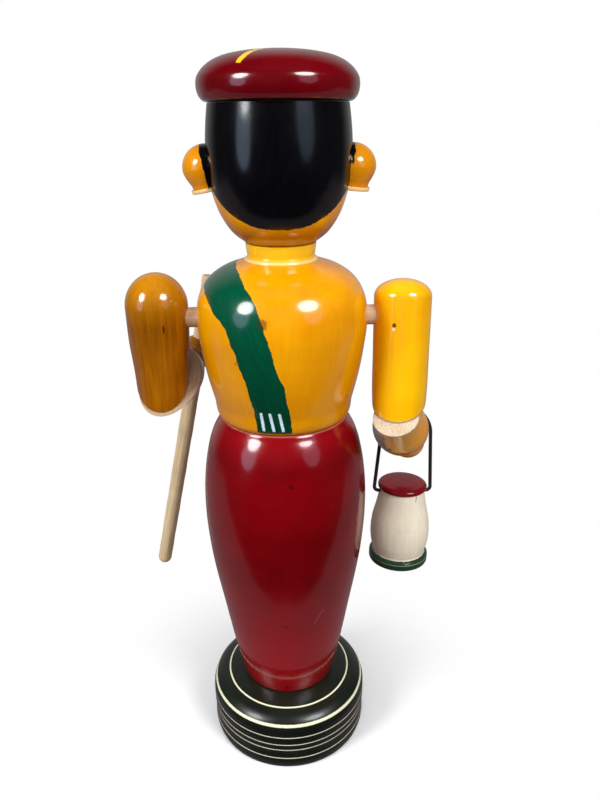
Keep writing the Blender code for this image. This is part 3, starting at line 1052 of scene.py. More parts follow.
@dataclass(frozen=True)
class Head:
    """Turned head with a small nose, painted hair and a plain painted face."""

    outline: Stations = ((295.0, 16.6), (295.4, 17.2), (299.1, 22.1), (307.4, 27.9), (317.0, 31.4),
                         (327.0, 33.3), (338.0, 33.6), (348.0, 32.9), (355.9, 31.9))
    hair_edge: Stations = ((0.0, 303.8), (20.0, 304.3), (40.0, 307.6), (55.0, 312.0),
                           (70.0, 318.0), (84.0, 322.0), (97.0, 327.0), (106.0, 340.0),
                           (118.0, 350.0), (180.0, 352.5))
    nose_height: float = 321.5
    nose_half_width: float = 3.3
    nose_half_length: float = 6.2
    nose_proud: float = 4.6
    eye_height: float = 330.0
    eye_x: float = 10.0
    mouth_height: float = 309.6
    eye_white: Color = srgb(238, 234, 220)
    lips: Color = srgb(170, 20, 24)
    chin_shade_tint: Color = srgb(160, 84, 1)
    hair_deep: Color = srgb(4, 4, 6)
    cap_shadow_tint: Color = srgb(6, 4, 4)

    def surface(self, around: int) -> np.ndarray:
        """Turned surface with the nose: its bump is the nose's height times a bell curve of the
        sideways and upright distances, steeper below than above.

        Args:
            around: points on a ring.

        Returns:
            The grid.
        """
        grid = revolve(closed_outline(smooth_run(self.outline, 190)), around)
        x, y, z = grid[..., 0], grid[..., 1], grid[..., 2]
        sideways = x / self.nose_half_width
        upright = (z - self.nose_height) / self.nose_half_length
        upright = np.where(upright < 0.0, upright * 1.9, upright)
        bump = self.nose_proud * np.exp(-(sideways**2 + upright**2)) * (y < 0.0)
        grid[..., 1] -= bump
        return grid

    def face(self, net: Net, color: Signal) -> Signal:
        """Paint a calm, plain face: eyes, brows, a moustache and a mouth, mirrored about X = 0.

        Args:
            net: the head's net.
            color: the colour under the face.

        Returns:
            The colour with the face.
        """
        front = net.y.below(-8.0, 1.0)
        side = abs(net.x)

        def oval(x: float, z: float, half_x: float, half_z: float) -> Signal:
            """Mask of an upright oval on the face."""
            across = (side - x) / half_x
            up = (net.z - z) / half_z
            return (across * across + up * up).below(1.0, 0.12) * front

        def bow(x: float, z: float, half_x: float, drop: float, thick: float) -> Signal:
            """Mask of a bowed line that sinks towards its ends."""
            across = (side - x) / half_x
            middle = across * across * -drop + z
            return abs(net.z - middle).below(thick, 0.12) * abs(across).below(1.0, 0.05) * front

        color = net.blend(oval(self.eye_x, self.eye_height, 4.2, 2.2), color, self.eye_white)
        color = net.blend(oval(self.eye_x, self.eye_height, 1.9, 1.95), color, HAIR_BLACK)
        color = net.blend(bow(self.eye_x, self.eye_height + 2.1, 4.9, 1.6, 0.35), color, HAIR_BLACK)
        color = net.blend(bow(self.eye_x, self.eye_height + 6.4, 6.0, 1.9, 0.6), color, HAIR_BLACK)
        color = net.blend(bow(4.6, self.mouth_height + 4.6, 5.0, 1.4, 0.95), color, HAIR_BLACK)
        return net.blend(oval(0.0, self.mouth_height, 4.4, 1.0), color, self.lips)

    def material(self) -> bpy.types.Material:
        """Yellow lacquer with black painted hair, the face, painted shade under the chin and a painted
        shadow under the cap.
        """
        net = Net("head_lacquer")
        color = self.face(net, YELLOW.cover(net))
        # painted shade: the head's underside is darkened towards the chin
        color = net.blend(net.z.stretch(300.0, 308.0, 0.85, 0.0), color, self.chin_shade_tint)
        fray = (net.noise(net.lathe, 0.5, 3.0) - 0.5) * 1.1
        edge = net.curve(abs(net.angle()), self.hair_edge)
        hair = (net.z + fray).above(edge, 0.22)
        tone = net.noise(net.scaled(1.0, 1.0, 0.2), 0.5, 3.0)
        black = net.blend(tone.stretch(0.3, 0.8, 0.0, 1.0), HAIR_BLACK, self.hair_deep)
        color = net.blend(hair, color, black)
        # painted shadow: the rim of the head just under the cap is darkened
        under = net.z.above(355.2, 0.3) * 0.7
        color = net.blend(under, color, self.cap_shadow_tint)
        return YELLOW.close(net, color, extra=hair * 0.8, thin=hair)

    def build(self) -> None:
        """Turn and dress the head."""
        piece = mesh_from_grid("head_turning", self.surface(240), Placement.upright())
        dress(piece, "head", Slot.YELLOW, self.material())


@dataclass(frozen=True)
class Cap:
    """Maroon cushion cap with one yellow brush stroke across it."""

    outline: Stations = ((356.2, 32.0), (356.6, 33.3), (358.2, 35.0), (360.6, 36.0),
                         (363.2, 36.3), (366.0, 35.9), (368.8, 34.2), (372.2, 30.2),
                         (374.4, 25.4), (375.8, 19.6), (376.8, 12.0), (377.2, 5.0))
    stroke_start: tuple[float, float] = (16.1, 29.1)
    stroke_end: tuple[float, float] = (-13.0, -19.0)
    stroke_bow: float = 1.5
    stroke_widths: Stations = ((0.0, 0.7), (2.5, 1.4), (9.0, 1.6), (26.0, 2.2), (48.0, 1.7),
                               (58.0, 0.0))
    top: float = 377.3
    stroke_tint: Color = srgb(238, 190, 18)
    underside_shade_tint: Color = srgb(20, 2, 4)
    speck_tint: Color = srgb(190, 120, 120)

    def material(self) -> bpy.types.Material:
        """Maroon lacquer with the yellow stroke, drawn in the plan view."""
        net = Net("cap_lacquer")
        color = MAROON.cover(net)
        (x0, y0), (x1, y1) = self.stroke_start, self.stroke_end
        length = math.hypot(x1 - x0, y1 - y0)
        ux, uy = (x1 - x0) / length, (y1 - y0) / length
        along = (net.x - x0) * ux + (net.y - y0) * uy
        share = along / length
        bow = share * (1.0 - share) * (4.0 * self.stroke_bow)
        off = (net.x - x0) * -uy + (net.y - y0) * ux + bow
        fray = (net.noise(net.lathe, 0.8, 3.0) - 0.5) * 0.8
        mask = (abs(off) + fray).below(net.curve(along, self.stroke_widths), 0.16)
        mask = mask * net.z.above(362.0, 0.5) * along.above(0.3, 0.2)
        color = net.blend(mask, color, self.stroke_tint)
        # painted shade: the cap's lowest edge, facing down onto the head, is darkened
        underside_shade = net.z.below(356.9, 0.4)
        color = net.blend(underside_shade * 0.7, color, self.underside_shade_tint)
        speck = net.noise(net.lathe, 0.8, 1.0).above(0.8, 0.01)
        color = net.blend(speck * 0.5, color, self.speck_tint)
        return MAROON.close(net, color, extra=mask * 1.2)

    def build(self) -> None:
        """Turn and dress the cap."""
        run = np.vstack([smooth_run(self.outline, 120), [[self.top, 0.0]]])
        piece = mesh_from_grid("cap_turning", revolve(closed_outline(run, 8), 220),
                               Placement.upright())
        dress(piece, "cap", Slot.MAROON, self.material())


@dataclass(frozen=True)
class Ear:
    """One ear: a little bell set beside the head and coped to its round."""

    side: Side
    lean: float
    hair_reach: float
    hair_low: float
    axis_x: float = 33.9
    height: float = 328.8
    dome_radius: float = 10.8
    half_height: float = 10.4
    lip_radius: float = 9.1
    lip_thickness: float = 2.0
    waist: Stations = ((-8.4, 8.1), (-7.0, 8.35), (-4.4, 9.5), (-2.0, 10.4), (0.0, 10.8))
    shade: Color = srgb(206, 116, 6)
    lip_tint: Color = srgb(246, 206, 140)

    def surface(self, place: Placement) -> np.ndarray:
        """Bell surface, with the part inside the head pushed out onto the head's surface.

        Args:
            place: the ear's frame.

        Returns:
            The grid in the ear's own frame.
        """
        lip_top = -self.half_height + self.lip_thickness
        lip = np.array([(-self.half_height, self.lip_radius - 0.5),
                        (-self.half_height + 0.25, self.lip_radius - 0.15),
                        (-self.half_height + 0.6, self.lip_radius),
                        (lip_top - 0.5, self.lip_radius), (lip_top - 0.15, self.lip_radius - 0.15),
                        (lip_top - 0.02, self.lip_radius - 0.5)])
        dome = quarter_round(0.0, self.half_height, self.dome_radius, 40)
        run = np.vstack([lip, smooth_run(self.waist, 34), dome])
        world = place.put(revolve(closed_outline(run), 96))
        head = smooth_run(Head().outline, 200)
        limit = np.interp(world[..., 2], head[:, 0], head[:, 1]) + 0.12
        reach = np.hypot(world[..., 0], world[..., 1])
        push = np.where(reach < limit, limit / np.maximum(reach, 1e-6), 1.0)
        world[..., :2] *= push[..., None]
        return (world - place.origin) @ place.axes

    def material(self) -> bpy.types.Material:
        """Yellow lacquer, a bare lip, and hair paint smeared where it meets the head."""
        net = Net(f"{self.side.label}_ear_lacquer")
        color = net.blend(0.45, YELLOW.cover(net), self.shade)
        lip = (net.z + (net.noise(net.lathe, 0.9, 2.0) - 0.5) * 0.6).below(
            -self.half_height + self.lip_thickness - 0.2, 0.15)
        color = net.blend(lip, color, self.lip_tint)
        inward = net.x * -self.side.value
        smear = (net.noise(net.scaled(1.0, 1.0, 0.5), 0.42, 2.0) - 0.5) * 2.0
        top = net.z.above(self.hair_low, 1.0)
        paint = (inward + smear).above(self.hair_reach, 0.2) * net.y.above(-2.0, 2.0) * top
        color = net.blend(paint, color, HAIR_BLACK)
        return YELLOW.close(net, color, dull=lip)

    def build(self) -> None:
        """Shape and dress the ear."""
        origin = (self.side.value * self.axis_x, 0.0, self.height)
        place = Placement.tilted(origin, 0.0, self.side.value * self.lean)
        piece = mesh_from_grid(f"{self.side.label}_ear_bell", self.surface(place), place, 50.0)
        dress(piece, f"{self.side.label}_ear", Slot.YELLOW, self.material())


# --------------------------------------------------------------------------------------------
# Arms
# --------------------------------------------------------------------------------------------

@dataclass(frozen=True)
class Fleck:
    """Small mark on the back of an upper arm: middle and half sizes in mm, and colour."""

    x: float
    z: float
    half_x: float
    half_z: float
    tone: Color


@dataclass(frozen=True)
class Arm:
    """One arm: shoulder peg, upper arm and forearm, mitred at the elbow."""

    side: Side
    axis_x: float
    outline: Stations
    top: float
    lean: float
    elbow: Point
    hand: Point
    seat_shift: tuple[float, float]
    peg_outer: float
    finish: Lacquer
    raw: BareWood
    flecks: tuple[Fleck, ...]
    swing: float = 0.0
    skew: float = 1.0
    peg_height: float = 258.0
    peg_inner: float = 34.0
    peg_radius: float = 5.0
    hand_radius: float = 9.7
    wrist: Stations = ((6.2, 7.5), (7.2, 7.5), (11.0, 8.3), (16.0, 9.6), (21.0, 11.4))
    forearm_end: Stations = ((28.0, 13.8), (36.0, 15.1), (44.0, 15.3), (52.0, 14.6), (66.0, 13.4))
    gap: float = 0.3
    # lighter yellow of the painted light on the top of the left upper arm
    top_light_tint: Color = srgb(214, 142, 6)
    rim_tint: Color = srgb(150, 140, 118)
    crease_shade_tint: Color = srgb(70, 34, 4)
    stain_tint: Color = srgb(44, 28, 8)

    def mitre(self) -> CutPlane:
        """The elbow's saw cut, halfway between the upright arm and the forearm."""
        elbow, hand = np.array(self.elbow), np.array(self.hand)
        forearm = (hand - elbow) / np.linalg.norm(hand - elbow) * np.array([self.skew, 1.0, 1.0])
        normal = forearm + np.array([0.0, 0.0, -1.0])
        return CutPlane(elbow, normal / np.linalg.norm(normal))

    def forearm_place(self) -> Placement:
        """Frame of the forearm: at the middle of the hand, Z towards its seat on the cut."""
        normal = self.mitre().normal
        slope = np.array([0.0, 1.0, 0.0]) - normal * normal[1]
        slope /= np.linalg.norm(slope)
        seat = np.array(self.elbow) + np.array([self.seat_shift[0], 0.0, 0.0])
        return Placement.along(np.array(self.hand), seat + slope * self.seat_shift[1])

    def upper_place(self) -> Placement:
        """Frame of the upper arm: at the peg, Z down the arm."""
        upright = Placement.tilted((self.axis_x, 0.0, self.peg_height), self.swing, self.lean)
        return Placement(upright.origin, upright.axes * np.array([1.0, -1.0, -1.0]))

    def build_peg(self) -> None:
        """Shoulder peg: a dowel along X with slightly eased ends."""
        sign = self.side.value
        start = np.array([sign * self.peg_inner, 0.0, self.peg_height])
        end = np.array([sign * self.peg_outer, 0.0, self.peg_height])
        length = self.peg_outer - self.peg_inner
        run = np.array([(0.0, self.peg_radius - 0.3), (0.3, self.peg_radius),
                        (length - 0.3, self.peg_radius), (length, self.peg_radius - 0.3)])
        rows = np.vstack([run[:1], even_run(run[1:3], 30), run[3:]])
        place = Placement.along(start, end)
        piece = mesh_from_grid(f"{self.side.label}_peg_dowel", revolve(closed_outline(rows), 64),
                               place)
        dress(piece, f"{self.side.label}_shoulder_peg", Slot.BARE,
              DOWEL.build(f"{self.side.label}_dowel_wood"))

    def build_upper(self) -> None:
        """Upper arm: a capsule turned upside down so that its sawn end comes last."""
        side_top, side_radius = self.outline[-1]
        dome = quarter_round(side_top, self.top, side_radius, 44)
        run = np.vstack([smooth_run(self.outline, 150), dome])
        shifted = run - np.array([self.peg_height, 0.0])
        flipped = shifted[::-1] * np.array([-1.0, 1.0])
        cut, place = self.mitre(), self.upper_place()
        plane = CutPlane(cut.point - cut.normal * self.gap / 2.0, cut.normal)
        grid, face_row = sawn_turning(flipped, 128, 150, place, plane)
        piece = mesh_from_grid(f"{self.side.label}_upper_arm_turning", grid, place)
        self.split_faces(piece, grid, face_row)
        dress(piece, f"{self.side.label}_upper_arm", Slot.YELLOW, self.upper_material(),
              self.raw.build(f"{self.side.label}_elbow_upper_wood"))

    def build_forearm(self) -> None:
        """Forearm and ball hand in one turning, sawn at the elbow."""
        cut, place = self.mitre(), self.forearm_place()
        neck = math.asin(self.wrist[0][0] / self.hand_radius)
        angle = np.linspace(-TAU / 4.0, neck, 60)
        ball = self.hand_radius * np.stack([np.sin(angle), np.cos(angle)], axis=1)
        run = np.vstack([ball[:-1], smooth_run(self.wrist + self.forearm_end, 120)])
        plane = CutPlane(cut.point + cut.normal * self.gap / 2.0, -cut.normal)
        grid, face_row = sawn_turning(run, 128, 190, place, plane)
        piece = mesh_from_grid(f"{self.side.label}_forearm_turning", grid, place)
        self.split_faces(piece, grid, face_row)
        dress(piece, f"{self.side.label}_forearm", Slot.YELLOW, self.forearm_material(),
              self.raw.build(f"{self.side.label}_elbow_wood"))

    @staticmethod
    def split_faces(piece: bpy.types.Object, grid: np.ndarray, face_row: int) -> None:
        """Give the sawn face the second material.

        Args:
            piece: the turning.
            grid: the grid that it was made from.
            face_row: first row of the sawn face.
        """
        rows = face_rows(grid.shape[0], grid.shape[1])
        index = (rows >= face_row).astype(np.int32)
        piece.data.polygons.foreach_set("material_index", index)

    def upper_material(self) -> bpy.types.Material:
        """Lacquer of the upper arm, with its small marks."""
        net = Net(f"{self.side.label}_upper_arm_lacquer")
        color = self.finish.cover(net)
        for fleck in self.flecks:
            across, up = (net.x - fleck.x) / fleck.half_x, (net.z - fleck.z) / fleck.half_z
            fray = (net.noise(net.lathe, 1.3, 2.0) - 0.5) * 0.8
            spot = ((across * across + up * up) + fray).below(1.0, 0.25) * net.y.below(0.0, 1.0)
            color = net.blend(spot * 0.85, color, fleck.tone)
        if self.side is Side.LEFT:
            # painted light: the top of the left upper arm is made lighter yellow, where the light
            # falls from above
            color = net.blend(net.z.stretch(-22.0, 2.0, 0.6, 0.0), color, self.top_light_tint)
        else:
            fray = (net.noise(net.lathe, 0.5, 3.0) - 0.5) * 0.8
            rim = (self.cut_distance(net, self.upper_place()) + fray).above(-1.0, 0.3)
            color = net.blend(rim * 0.9, color, self.rim_tint)
        return self.finish.close(net, color)

    def forearm_material(self) -> bpy.types.Material:
        """Lacquer of the forearm, with painted shade in the crease above the hand and a stain."""
        net = Net(f"{self.side.label}_forearm_lacquer")
        color = self.finish.cover(net) if self.side is Side.LEFT else YELLOW.cover(net)
        rim = self.cut_distance(net, self.forearm_place())
        rim = rim + (net.noise(net.lathe, 0.6, 3.0) - 0.5) * 1.2 - self.gap / 2.0
        worn = rim.below(1.0, 0.25)
        pale = net.noise(net.scaled(1.0, 1.0, 0.2), 0.8, 3.0)
        bare = net.blend(pale.stretch(0.3, 0.7, 0.0, 1.0), self.raw.light, self.raw.deep)
        # painted shade: the groove above the hand is darkened
        crease_shade = abs(net.z - 6.8).below(0.35, 0.3)
        color = net.blend(crease_shade * 0.8, color, self.crease_shade_tint)
        if self.side is Side.RIGHT:
            fray = (net.noise(net.lathe, 0.35, 3.0) - 0.5) * 10.0
            stain = (net.x + fray).above(10.0, 1.2) * net.z.above(24.0, 5.0)
            color = net.blend(stain * 0.8, color, self.stain_tint)
        color = net.blend(worn, color, bare)
        return self.finish.close(net, color, dull=worn)

    def cut_distance(self, net: Net, place: Placement) -> Signal:
        """Signed distance from the elbow's cut in mm, positive on the forearm's side.

        Args:
            net: the material's net.
            place: frame of the piece.

        Returns:
            The distance.
        """
        cut = self.mitre()
        x, y, z = (place.axes.T @ cut.normal).tolist()
        offset = float((place.origin - cut.point) @ cut.normal)
        return net.x * x + net.y * y + net.z * z + offset

    def build(self) -> None:
        """Build the arm's three pieces."""
        self.build_peg()
        self.build_upper()
        self.build_forearm()


def build_arms(left_hand: Point) -> None:
    """Build the left arm, whose hand holds the staff, and the right arm, which carries the lantern.

    Args:
        left_hand: middle of the left hand, on the staff's axis.
    """
    dent = srgb(48, 20, 4)
    Arm(Side.LEFT, axis_x=62.1, top=280.5, lean=0.0, elbow=(61.5, 0.0, 224.8), hand=left_hand,
        seat_shift=(-3.0, -0.6), peg_outer=54.0, finish=AMBER, raw=SHADED_RAW_WOOD, skew=0.0,
        flecks=(Fleck(-5.0, 2.0, 0.5, 2.2, dent), Fleck(3.0, -20.6, 0.5, 0.6, dent)),
        outline=((195.0, 12.6), (216.0, 13.2), (231.0, 13.8), (246.0, 15.0),
                 (264.0, 15.4))).build()
    Arm(Side.RIGHT, axis_x=-60.3, top=275.8, swing=8.0, lean=-0.9, elbow=(-60.0, 6.4, 212.2),
        hand=(-72.6, -29.8, 172.4), seat_shift=(4.0, 10.8), peg_outer=53.0, finish=LEMON,
        raw=RAW_WOOD,
        flecks=(Fleck(6.0, 4.0, 0.9, 1.1, srgb(40, 26, 8)),
                Fleck(6.3, 6.0, 0.7, 0.8, srgb(240, 230, 205))),
        forearm_end=((28.0, 13.8), (36.0, 14.9), (42.0, 14.6), (48.0, 13.4), (54.0, 12.4),
                     (76.0, 10.5)),
        outline=((195.4, 9.6), (198.8, 11.8), (204.0, 13.0), (212.0, 13.7), (240.0, 14.2),
                 (267.0, 14.4))).build()


@dataclass(frozen=True)
class Staff:
    """Walking staff: a bare tapered stick, cut square at the top and rounded at its foot."""

    top: Point = (38.7, -40.0, 270.0)
    foot: Point = (79.2, -40.0, 85.0)
    top_radius: float = 4.4
    foot_radius: float = 4.1
    grip: float = 0.768

    def point(self, share: float) -> Point:
        """Point on the staff's axis.

        Args:
            share: share of the way up from its foot.

        Returns:
            The point in mm.
        """
        low, high = np.array(self.foot), np.array(self.top)
        return tuple((low + share * (high - low)).tolist())

    def build(self) -> None:
        """Turn and dress the staff, with a slow whittled unevenness along it."""
        foot, top = np.array(self.foot), np.array(self.top)
        length = float(np.linalg.norm(top - foot))
        tip = quarter_round(self.foot_radius, 0.0, self.foot_radius, 18)[::-1]
        shaft = np.linspace(self.foot_radius, length - 0.4, 240)
        taper = self.foot_radius + (self.top_radius - self.foot_radius) * shaft / length
        taper = taper + 0.05 * np.sin(shaft * 0.21) + 0.04 * np.sin(shaft * 0.47 + 1.0)
        head = np.array([(length - 0.1, self.top_radius - 0.12), (length, self.top_radius - 0.4)])
        run = np.vstack([tip, np.stack([shaft, taper], axis=1), head])
        place = Placement.along(foot, top)
        piece = mesh_from_grid("staff_stick", revolve(closed_outline(run), 56), place)
        dress(piece, "staff", Slot.BARE, STICK.build("staff_wood"))


# --------------------------------------------------------------------------------------------
# Lantern
# --------------------------------------------------------------------------------------------

@dataclass(frozen=True)
class Lantern:
    """Lantern turned in one piece, hanging from its bent wire bail over the right wrist."""

    hang_point: Point = (-70.4, -24.3, 196.0)
    lean_back: float = 2.5
    lean_in: float = 1.2
    bottom: float = -97.2
    foot_radius: float = 17.6
    foot_top: float = -91.7
    outline: Stations = ((-91.7, 16.2), (-91.2, 15.7), (-89.0, 16.0), (-84.9, 16.9),
                         (-77.9, 17.5), (-69.9, 16.9), (-59.9, 14.7), (-50.0, 12.9))
    cap_outline: Stations = ((-50.0, 12.9), (-49.8, 13.6), (-49.4, 14.0), (-48.6, 14.3),
                             (-47.6, 14.2), (-46.6, 13.3), (-46.0, 10.5), (-45.6, 5.5),
                             (-45.5, 2.0))
    wire_radius: float = 1.05
    hook_height: float = -52.0
    hook_inner: float = 10.4
    foot_half_width: float = 16.6
    shoulder_half_width: float = 14.4
    shoulder_height: float = -16.4
    bend_radius: float = 2.6
    wood_light: Color = srgb(255, 247, 226)
    wood_deep: Color = srgb(236, 216, 186)
    green: Color = srgb(38, 62, 44)
    groove_tint: Color = srgb(150, 160, 140)
    maroon_light: Color = srgb(140, 12, 28)
    maroon_deep: Color = srgb(100, 5, 14)
    crack_tint: Color = srgb(60, 42, 26)
    steel: Color = srgb(112, 106, 104)
    rust_tint: Color = srgb(74, 54, 42)

    def place(self) -> Placement:
        """Frame at the top of the bail, leaning as the lantern hangs."""
        return Placement.tilted(self.hang_point, self.lean_back, -self.lean_in)

    def bail_path(self) -> np.ndarray:
        """Middle line of the bail: hook, small bend, leg and a quarter of an ellipse, mirrored.

        Returns:
            Points in the XZ plane of the lantern's frame.
        """
        turn = np.linspace(-TAU / 4.0, 0.0, 14)
        bend = np.stack([self.foot_half_width + self.bend_radius * (np.cos(turn) - 1.0),
                         self.hook_height + self.bend_radius * (np.sin(turn) + 1.0)], axis=1)
        rise = np.linspace(0.0, TAU / 4.0, 60)
        arch = np.stack([self.shoulder_half_width * np.cos(rise),
                         self.shoulder_height * (1.0 - np.sin(rise))], axis=1)
        half = np.vstack([[[self.hook_inner, self.hook_height]], bend, arch])
        mirrored = half[:-1][::-1] * np.array([-1.0, 1.0])
        flat = even_run(np.vstack([half, mirrored]), 260)
        return np.stack([flat[:, 0], np.zeros(len(flat)), flat[:, 1]], axis=1)

    def body_material(self) -> bpy.types.Material:
        """Pale turned wood with a maroon cap, a dark green foot and one hairline crack."""
        net = Net("lantern_wood")
        ring = net.noise(net.scaled(0.04, 0.04, 1.0), 0.8, 4.0, 0.7)
        grain = net.noise(net.scaled(1.0, 1.0, 0.08), 0.5, 4.0)
        depth = ((ring - 0.5) * 0.5 + (grain - 0.5) * 0.9 + 0.5).stretch(0.1, 0.9, 0.0, 1.0)
        wood = net.blend(depth, self.wood_light, self.wood_deep)
        fray = (net.noise(net.lathe, 0.9, 2.0) - 0.5) * 0.5
        level = net.z + fray
        foot_edge = self.foot_top + 0.4
        groove = abs(net.z - (self.bottom + 3.9)).below(0.3, 0.15)
        green = net.blend(groove * 0.7, self.green, self.groove_tint)
        color = net.blend(level.below(foot_edge, 0.15), wood, green)
        maroon = net.blend(ring.stretch(0.3, 0.7, 0.0, 1.0), self.maroon_light, self.maroon_deep)
        cap = level.above(-49.8, 0.12)
        color = net.blend(cap, color, maroon)
        crack = (abs(net.x + 6.0 + (net.z + 55.0) * 0.1).below(0.22, 0.12)
                 * net.z.above(-53.6, 0.4) * net.z.below(-50.4, 0.2) * net.y.above(0.0, 1.0))
        color = net.blend(crack * 0.85, color, self.crack_tint)
        painted = cap.most(level.below(foot_edge, 0.15))
        rough = 0.42 - painted * 0.24
        return net.finish(color, rough, ring * 0.7 + grain * 0.4, 0.06, IOR=1.48)

    def wire_material(self) -> bpy.types.Material:
        """Dull bent steel wire with a little rust."""
        net = Net("bail_wire")
        rust = net.noise(net.lathe, 0.7, 3.0).stretch(0.5, 0.8, 0.0, 0.6)
        color = net.blend(rust, self.steel, self.rust_tint)
        return net.finish(color, rust * 0.3 + 0.38, net.noise(net.lathe, 2.5, 2.0), 0.05,
                          Metallic=0.9)

    def build(self) -> None:
        """Turn the lantern, bend its bail and dress both."""
        foot = np.array([(self.bottom, self.foot_radius - 0.8),
                         (self.bottom + 0.25, self.foot_radius - 0.25),
                         (self.bottom + 0.8, self.foot_radius),
                         (self.bottom + 3.5, self.foot_radius + 0.05),
                         (self.bottom + 3.9, self.foot_radius - 0.25),
                         (self.bottom + 4.3, self.foot_radius + 0.02),
                         (self.foot_top - 0.6, self.foot_radius - 0.1),
                         (self.foot_top - 0.15, self.foot_radius - 0.5)])
        run = np.vstack([foot, smooth_run(self.outline, 110), smooth_run(self.cap_outline, 50)[1:],
                         [[-45.45, 0.0]]])
        place = self.place()
        body = mesh_from_grid("lantern_turning", revolve(closed_outline(run), 144), place)
        dress(body, "lantern", Slot.PALE, self.body_material())
        wire = tube(self.bail_path(), self.wire_radius, 20)
        bail = mesh_from_grid("lantern_bail_wire", wire, place)
        dress(bail, "lantern_bail", Slot.WIRE, self.wire_material())


# --------------------------------------------------------------------------------------------
# Studio
# --------------------------------------------------------------------------------------------

@dataclass(frozen=True)
class SoftBox:
    """An oval soft light, seen as a bright window in the lacquer."""

    name: str
    azimuth: float
    elevation: float
    distance: float
    width: float
    height: float
    radiance: float
    color: Color = (1.0, 1.0, 1.0)
    mirrored: bool = True

    def build(self) -> None:
        """Place the light on a sphere round the figurine's middle, facing it."""
        middle = np.array([0.0, 0.0, 0.23])
        turn, rise = math.radians(self.azimuth), math.radians(self.elevation)
        outward = np.array([math.sin(turn) * math.cos(rise), math.cos(turn) * math.cos(rise),
                            math.sin(rise)])
        light = bpy.data.lights.new(self.name, "AREA")
        light.shape = "ELLIPSE"
        light.size = self.width
        light.size_y = self.height
        light.color = self.color
        light.energy = self.radiance * math.pi * self.width * self.height
        lamp = new_object(self.name, light)
        lamp.location = (middle + outward * self.distance).tolist()
        lamp.visible_glossy = self.mirrored
        lamp.rotation_mode = "QUATERNION"
        lamp.rotation_quaternion = Vector(outward.tolist()).to_track_quat("Z", "Y")


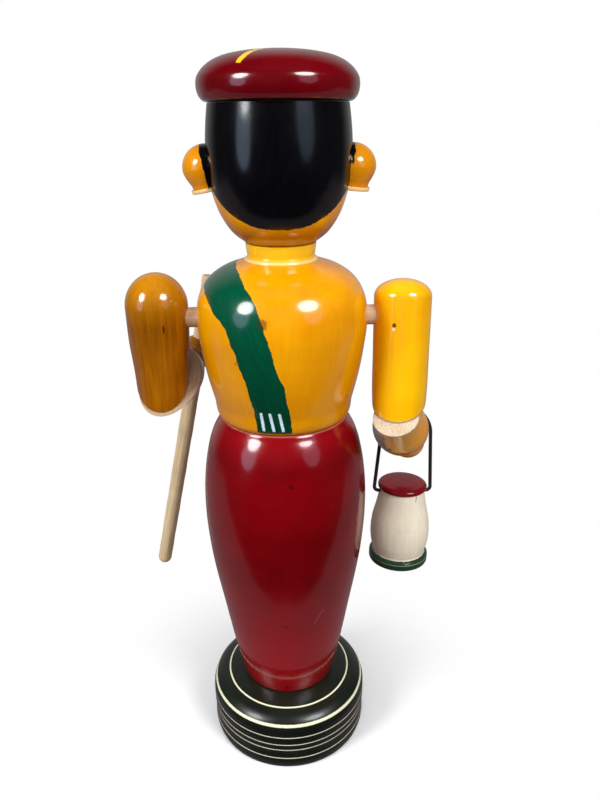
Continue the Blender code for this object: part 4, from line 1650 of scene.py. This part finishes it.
@dataclass(frozen=True)
class Studio:
    """Camera, pale floor, soft lights and a quiet room behind the camera."""

    camera_height: float = 0.3492
    camera_distance: float = 0.334
    focal_share: float = 0.857875
    sensor_mm: float = 36.0
    pitch: float = 22.29
    roll: float = -0.51
    yaw: float = 1.46
    room: float = 0.006
    sky: float = 0.35
    wall: float = 0.03
    table: Color = (0.2, 0.17, 0.18)
    table_edge: float = 0.67
    table_bow: float = 0.2
    bounce: float = 0.17
    floor_radius: float = 0.4
    floor_fade: tuple[float, float] = (0.045, 0.15)
    floor_white: Color = (0.93, 0.93, 0.93)

    def build_camera(self) -> None:
        """Camera behind the figurine, looking down at it."""
        pitch, roll, yaw = (math.radians(v) for v in (self.pitch, self.roll, self.yaw))
        forward = np.array([math.sin(yaw) * math.cos(pitch), math.cos(yaw) * math.cos(pitch),
                            -math.sin(pitch)])
        right = np.array([math.cos(yaw), -math.sin(yaw), 0.0])
        above = np.cross(right, forward)
        across = math.cos(roll) * right + math.sin(roll) * above
        upward = -math.sin(roll) * right + math.cos(roll) * above
        turned = np.diag([-1.0, -1.0, 1.0]) @ np.stack([across, upward, -forward], axis=1)
        data = bpy.data.cameras.new("camera")
        data.sensor_width = self.sensor_mm
        data.lens = self.focal_share * self.sensor_mm
        data.clip_start = 0.01
        camera = new_object("camera", data)
        matrix = np.eye(4)
        matrix[:3, :3] = turned
        matrix[:3, 3] = (0.0, self.camera_distance, self.camera_height)
        camera.matrix_world = Matrix(matrix.tolist())
        bpy.context.scene.camera = camera

    def build_world(self) -> None:
        """White surroundings for the camera and for rays that leave behind the figurine, and a
        dimmer room on the camera's side."""
        world = bpy.data.worlds.new("room")
        world.use_nodes = True
        tree = Tree(world.node_tree)
        x, y, z = tree.split(tree.node("ShaderNodeTexCoord", {}, {}, "Generated").socket)
        behind = y.below(-0.575, 0.275) * (self.sky - self.room) + self.room
        aside = abs(x).above(0.75, 0.2) * self.wall
        edge = z * self.table_edge + (abs(x) * self.table_bow + y)
        board = edge.below(0.0, 0.03) * z.below(-0.25, 0.07)
        color = tree.blend(board, behind.most(aside), self.table)
        ray = tree.node("ShaderNodeLightPath", {}, {}, "Is Camera Ray")
        diffuse = Signal(tree, ray.socket.node.outputs["Is Diffuse Ray"])
        color = tree.blend(diffuse, color, (self.bounce,) * 3, "ADD")
        color = tree.blend(ray, color, WHITE)
        glow = tree.node("ShaderNodeBackground", {}, {"Color": color}, "Background")
        tree.end("ShaderNodeOutputWorld", glow)
        bpy.context.scene.world = world

    def build_floor(self) -> None:
        """Round pale floor, seen only by the camera, that fades into the white surroundings: points
        at radius times (cosine, sine) of even angles."""
        around, rings, middle = 96, 10, 0.001
        angle = np.arange(around) * TAU / around
        radius = (middle + (self.floor_radius - middle) * np.linspace(0.0, 1.0, rings) ** 2)[:, None]
        flat = np.zeros((rings, around))
        points = np.stack([radius * np.cos(angle), radius * np.sin(angle), flat], 2).reshape(-1, 3)
        mesh = bpy.data.meshes.new("floor")
        mesh.from_pydata(points.tolist(), [], ring_quads(rings, around, 0))
        mesh.materials.append(self.floor_material())
        floor = new_object("floor", mesh)
        floor.visible_diffuse = floor.visible_glossy = False

    def floor_material(self) -> bpy.types.Material:
        """Matt near-white board, clear away from the base."""
        material = bpy.data.materials.new("floor_board")
        material.use_nodes = True
        tree = Tree(material.node_tree)
        where = tree.node("ShaderNodeTexCoord", {}, {}, "Object")
        reach = tree.node("ShaderNodeVectorMath", {"operation": "LENGTH"}, {0: where}, "Value")
        start, stop = self.floor_fade
        fade = reach.above((start + stop) / 2.0, (stop - start) / 2.0)
        board = tree.node("ShaderNodeBsdfDiffuse", {}, {"Color": self.floor_white}, "BSDF")
        clear = tree.node("ShaderNodeBsdfTransparent", {}, {}, "BSDF")
        mixed = tree.node("ShaderNodeMixShader", {}, {0: fade, 1: board, 2: clear}, "Shader")
        tree.end("ShaderNodeOutputMaterial", mixed)
        return material

    def build_lights(self) -> None:
        """Two windows high on either side of the camera, each with a dimmer lower part."""
        boxes = (
            SoftBox("window_left", 54.0, 31.0, 1.1, 0.38, 0.46, 14.0),
            SoftBox("window_left_low", 55.0, 11.0, 1.12, 0.46, 0.66, 1.6, (0.6, 0.76, 1.0)),
            SoftBox("window_right", -40.0, 38.0, 1.1, 0.48, 0.38, 14.0),
            SoftBox("window_right_low", -41.0, 17.0, 1.12, 0.52, 0.64, 0.75, (0.6, 0.76, 1.0)),
            SoftBox("fill", 6.0, 18.0, 1.2, 1.2, 1.0, 0.75, mirrored=False),
            SoftBox("ceiling", 0.0, 88.0, 1.3, 1.4, 1.4, 1.2, mirrored=False),
        )
        for box in boxes:
            box.build()

    def build(self) -> None:
        """Set the whole studio up."""
        self.build_camera()
        self.build_world()
        self.build_floor()
        self.build_lights()
        view = bpy.context.scene.view_settings
        view.view_transform = "Standard"
        view.look = "None"


def main() -> None:
    """Build every piece of the figurine in order, then the studio."""
    logging.basicConfig(level=logging.INFO, format="%(name)s: %(message)s")
    RoundBase().build()
    LowerBody().build()
    Torso().build()
    Head().build()
    Cap().build()
    Ear(Side.LEFT, lean=11.5, hair_reach=-0.3, hair_low=-9.0).build()
    Ear(Side.RIGHT, lean=6.5, hair_reach=0.6, hair_low=1.5).build()
    staff = Staff()
    build_arms(staff.point(staff.grip))
    staff.build()
    Lantern().build()
    Studio().build()


if __name__ == "__main__":
    main()
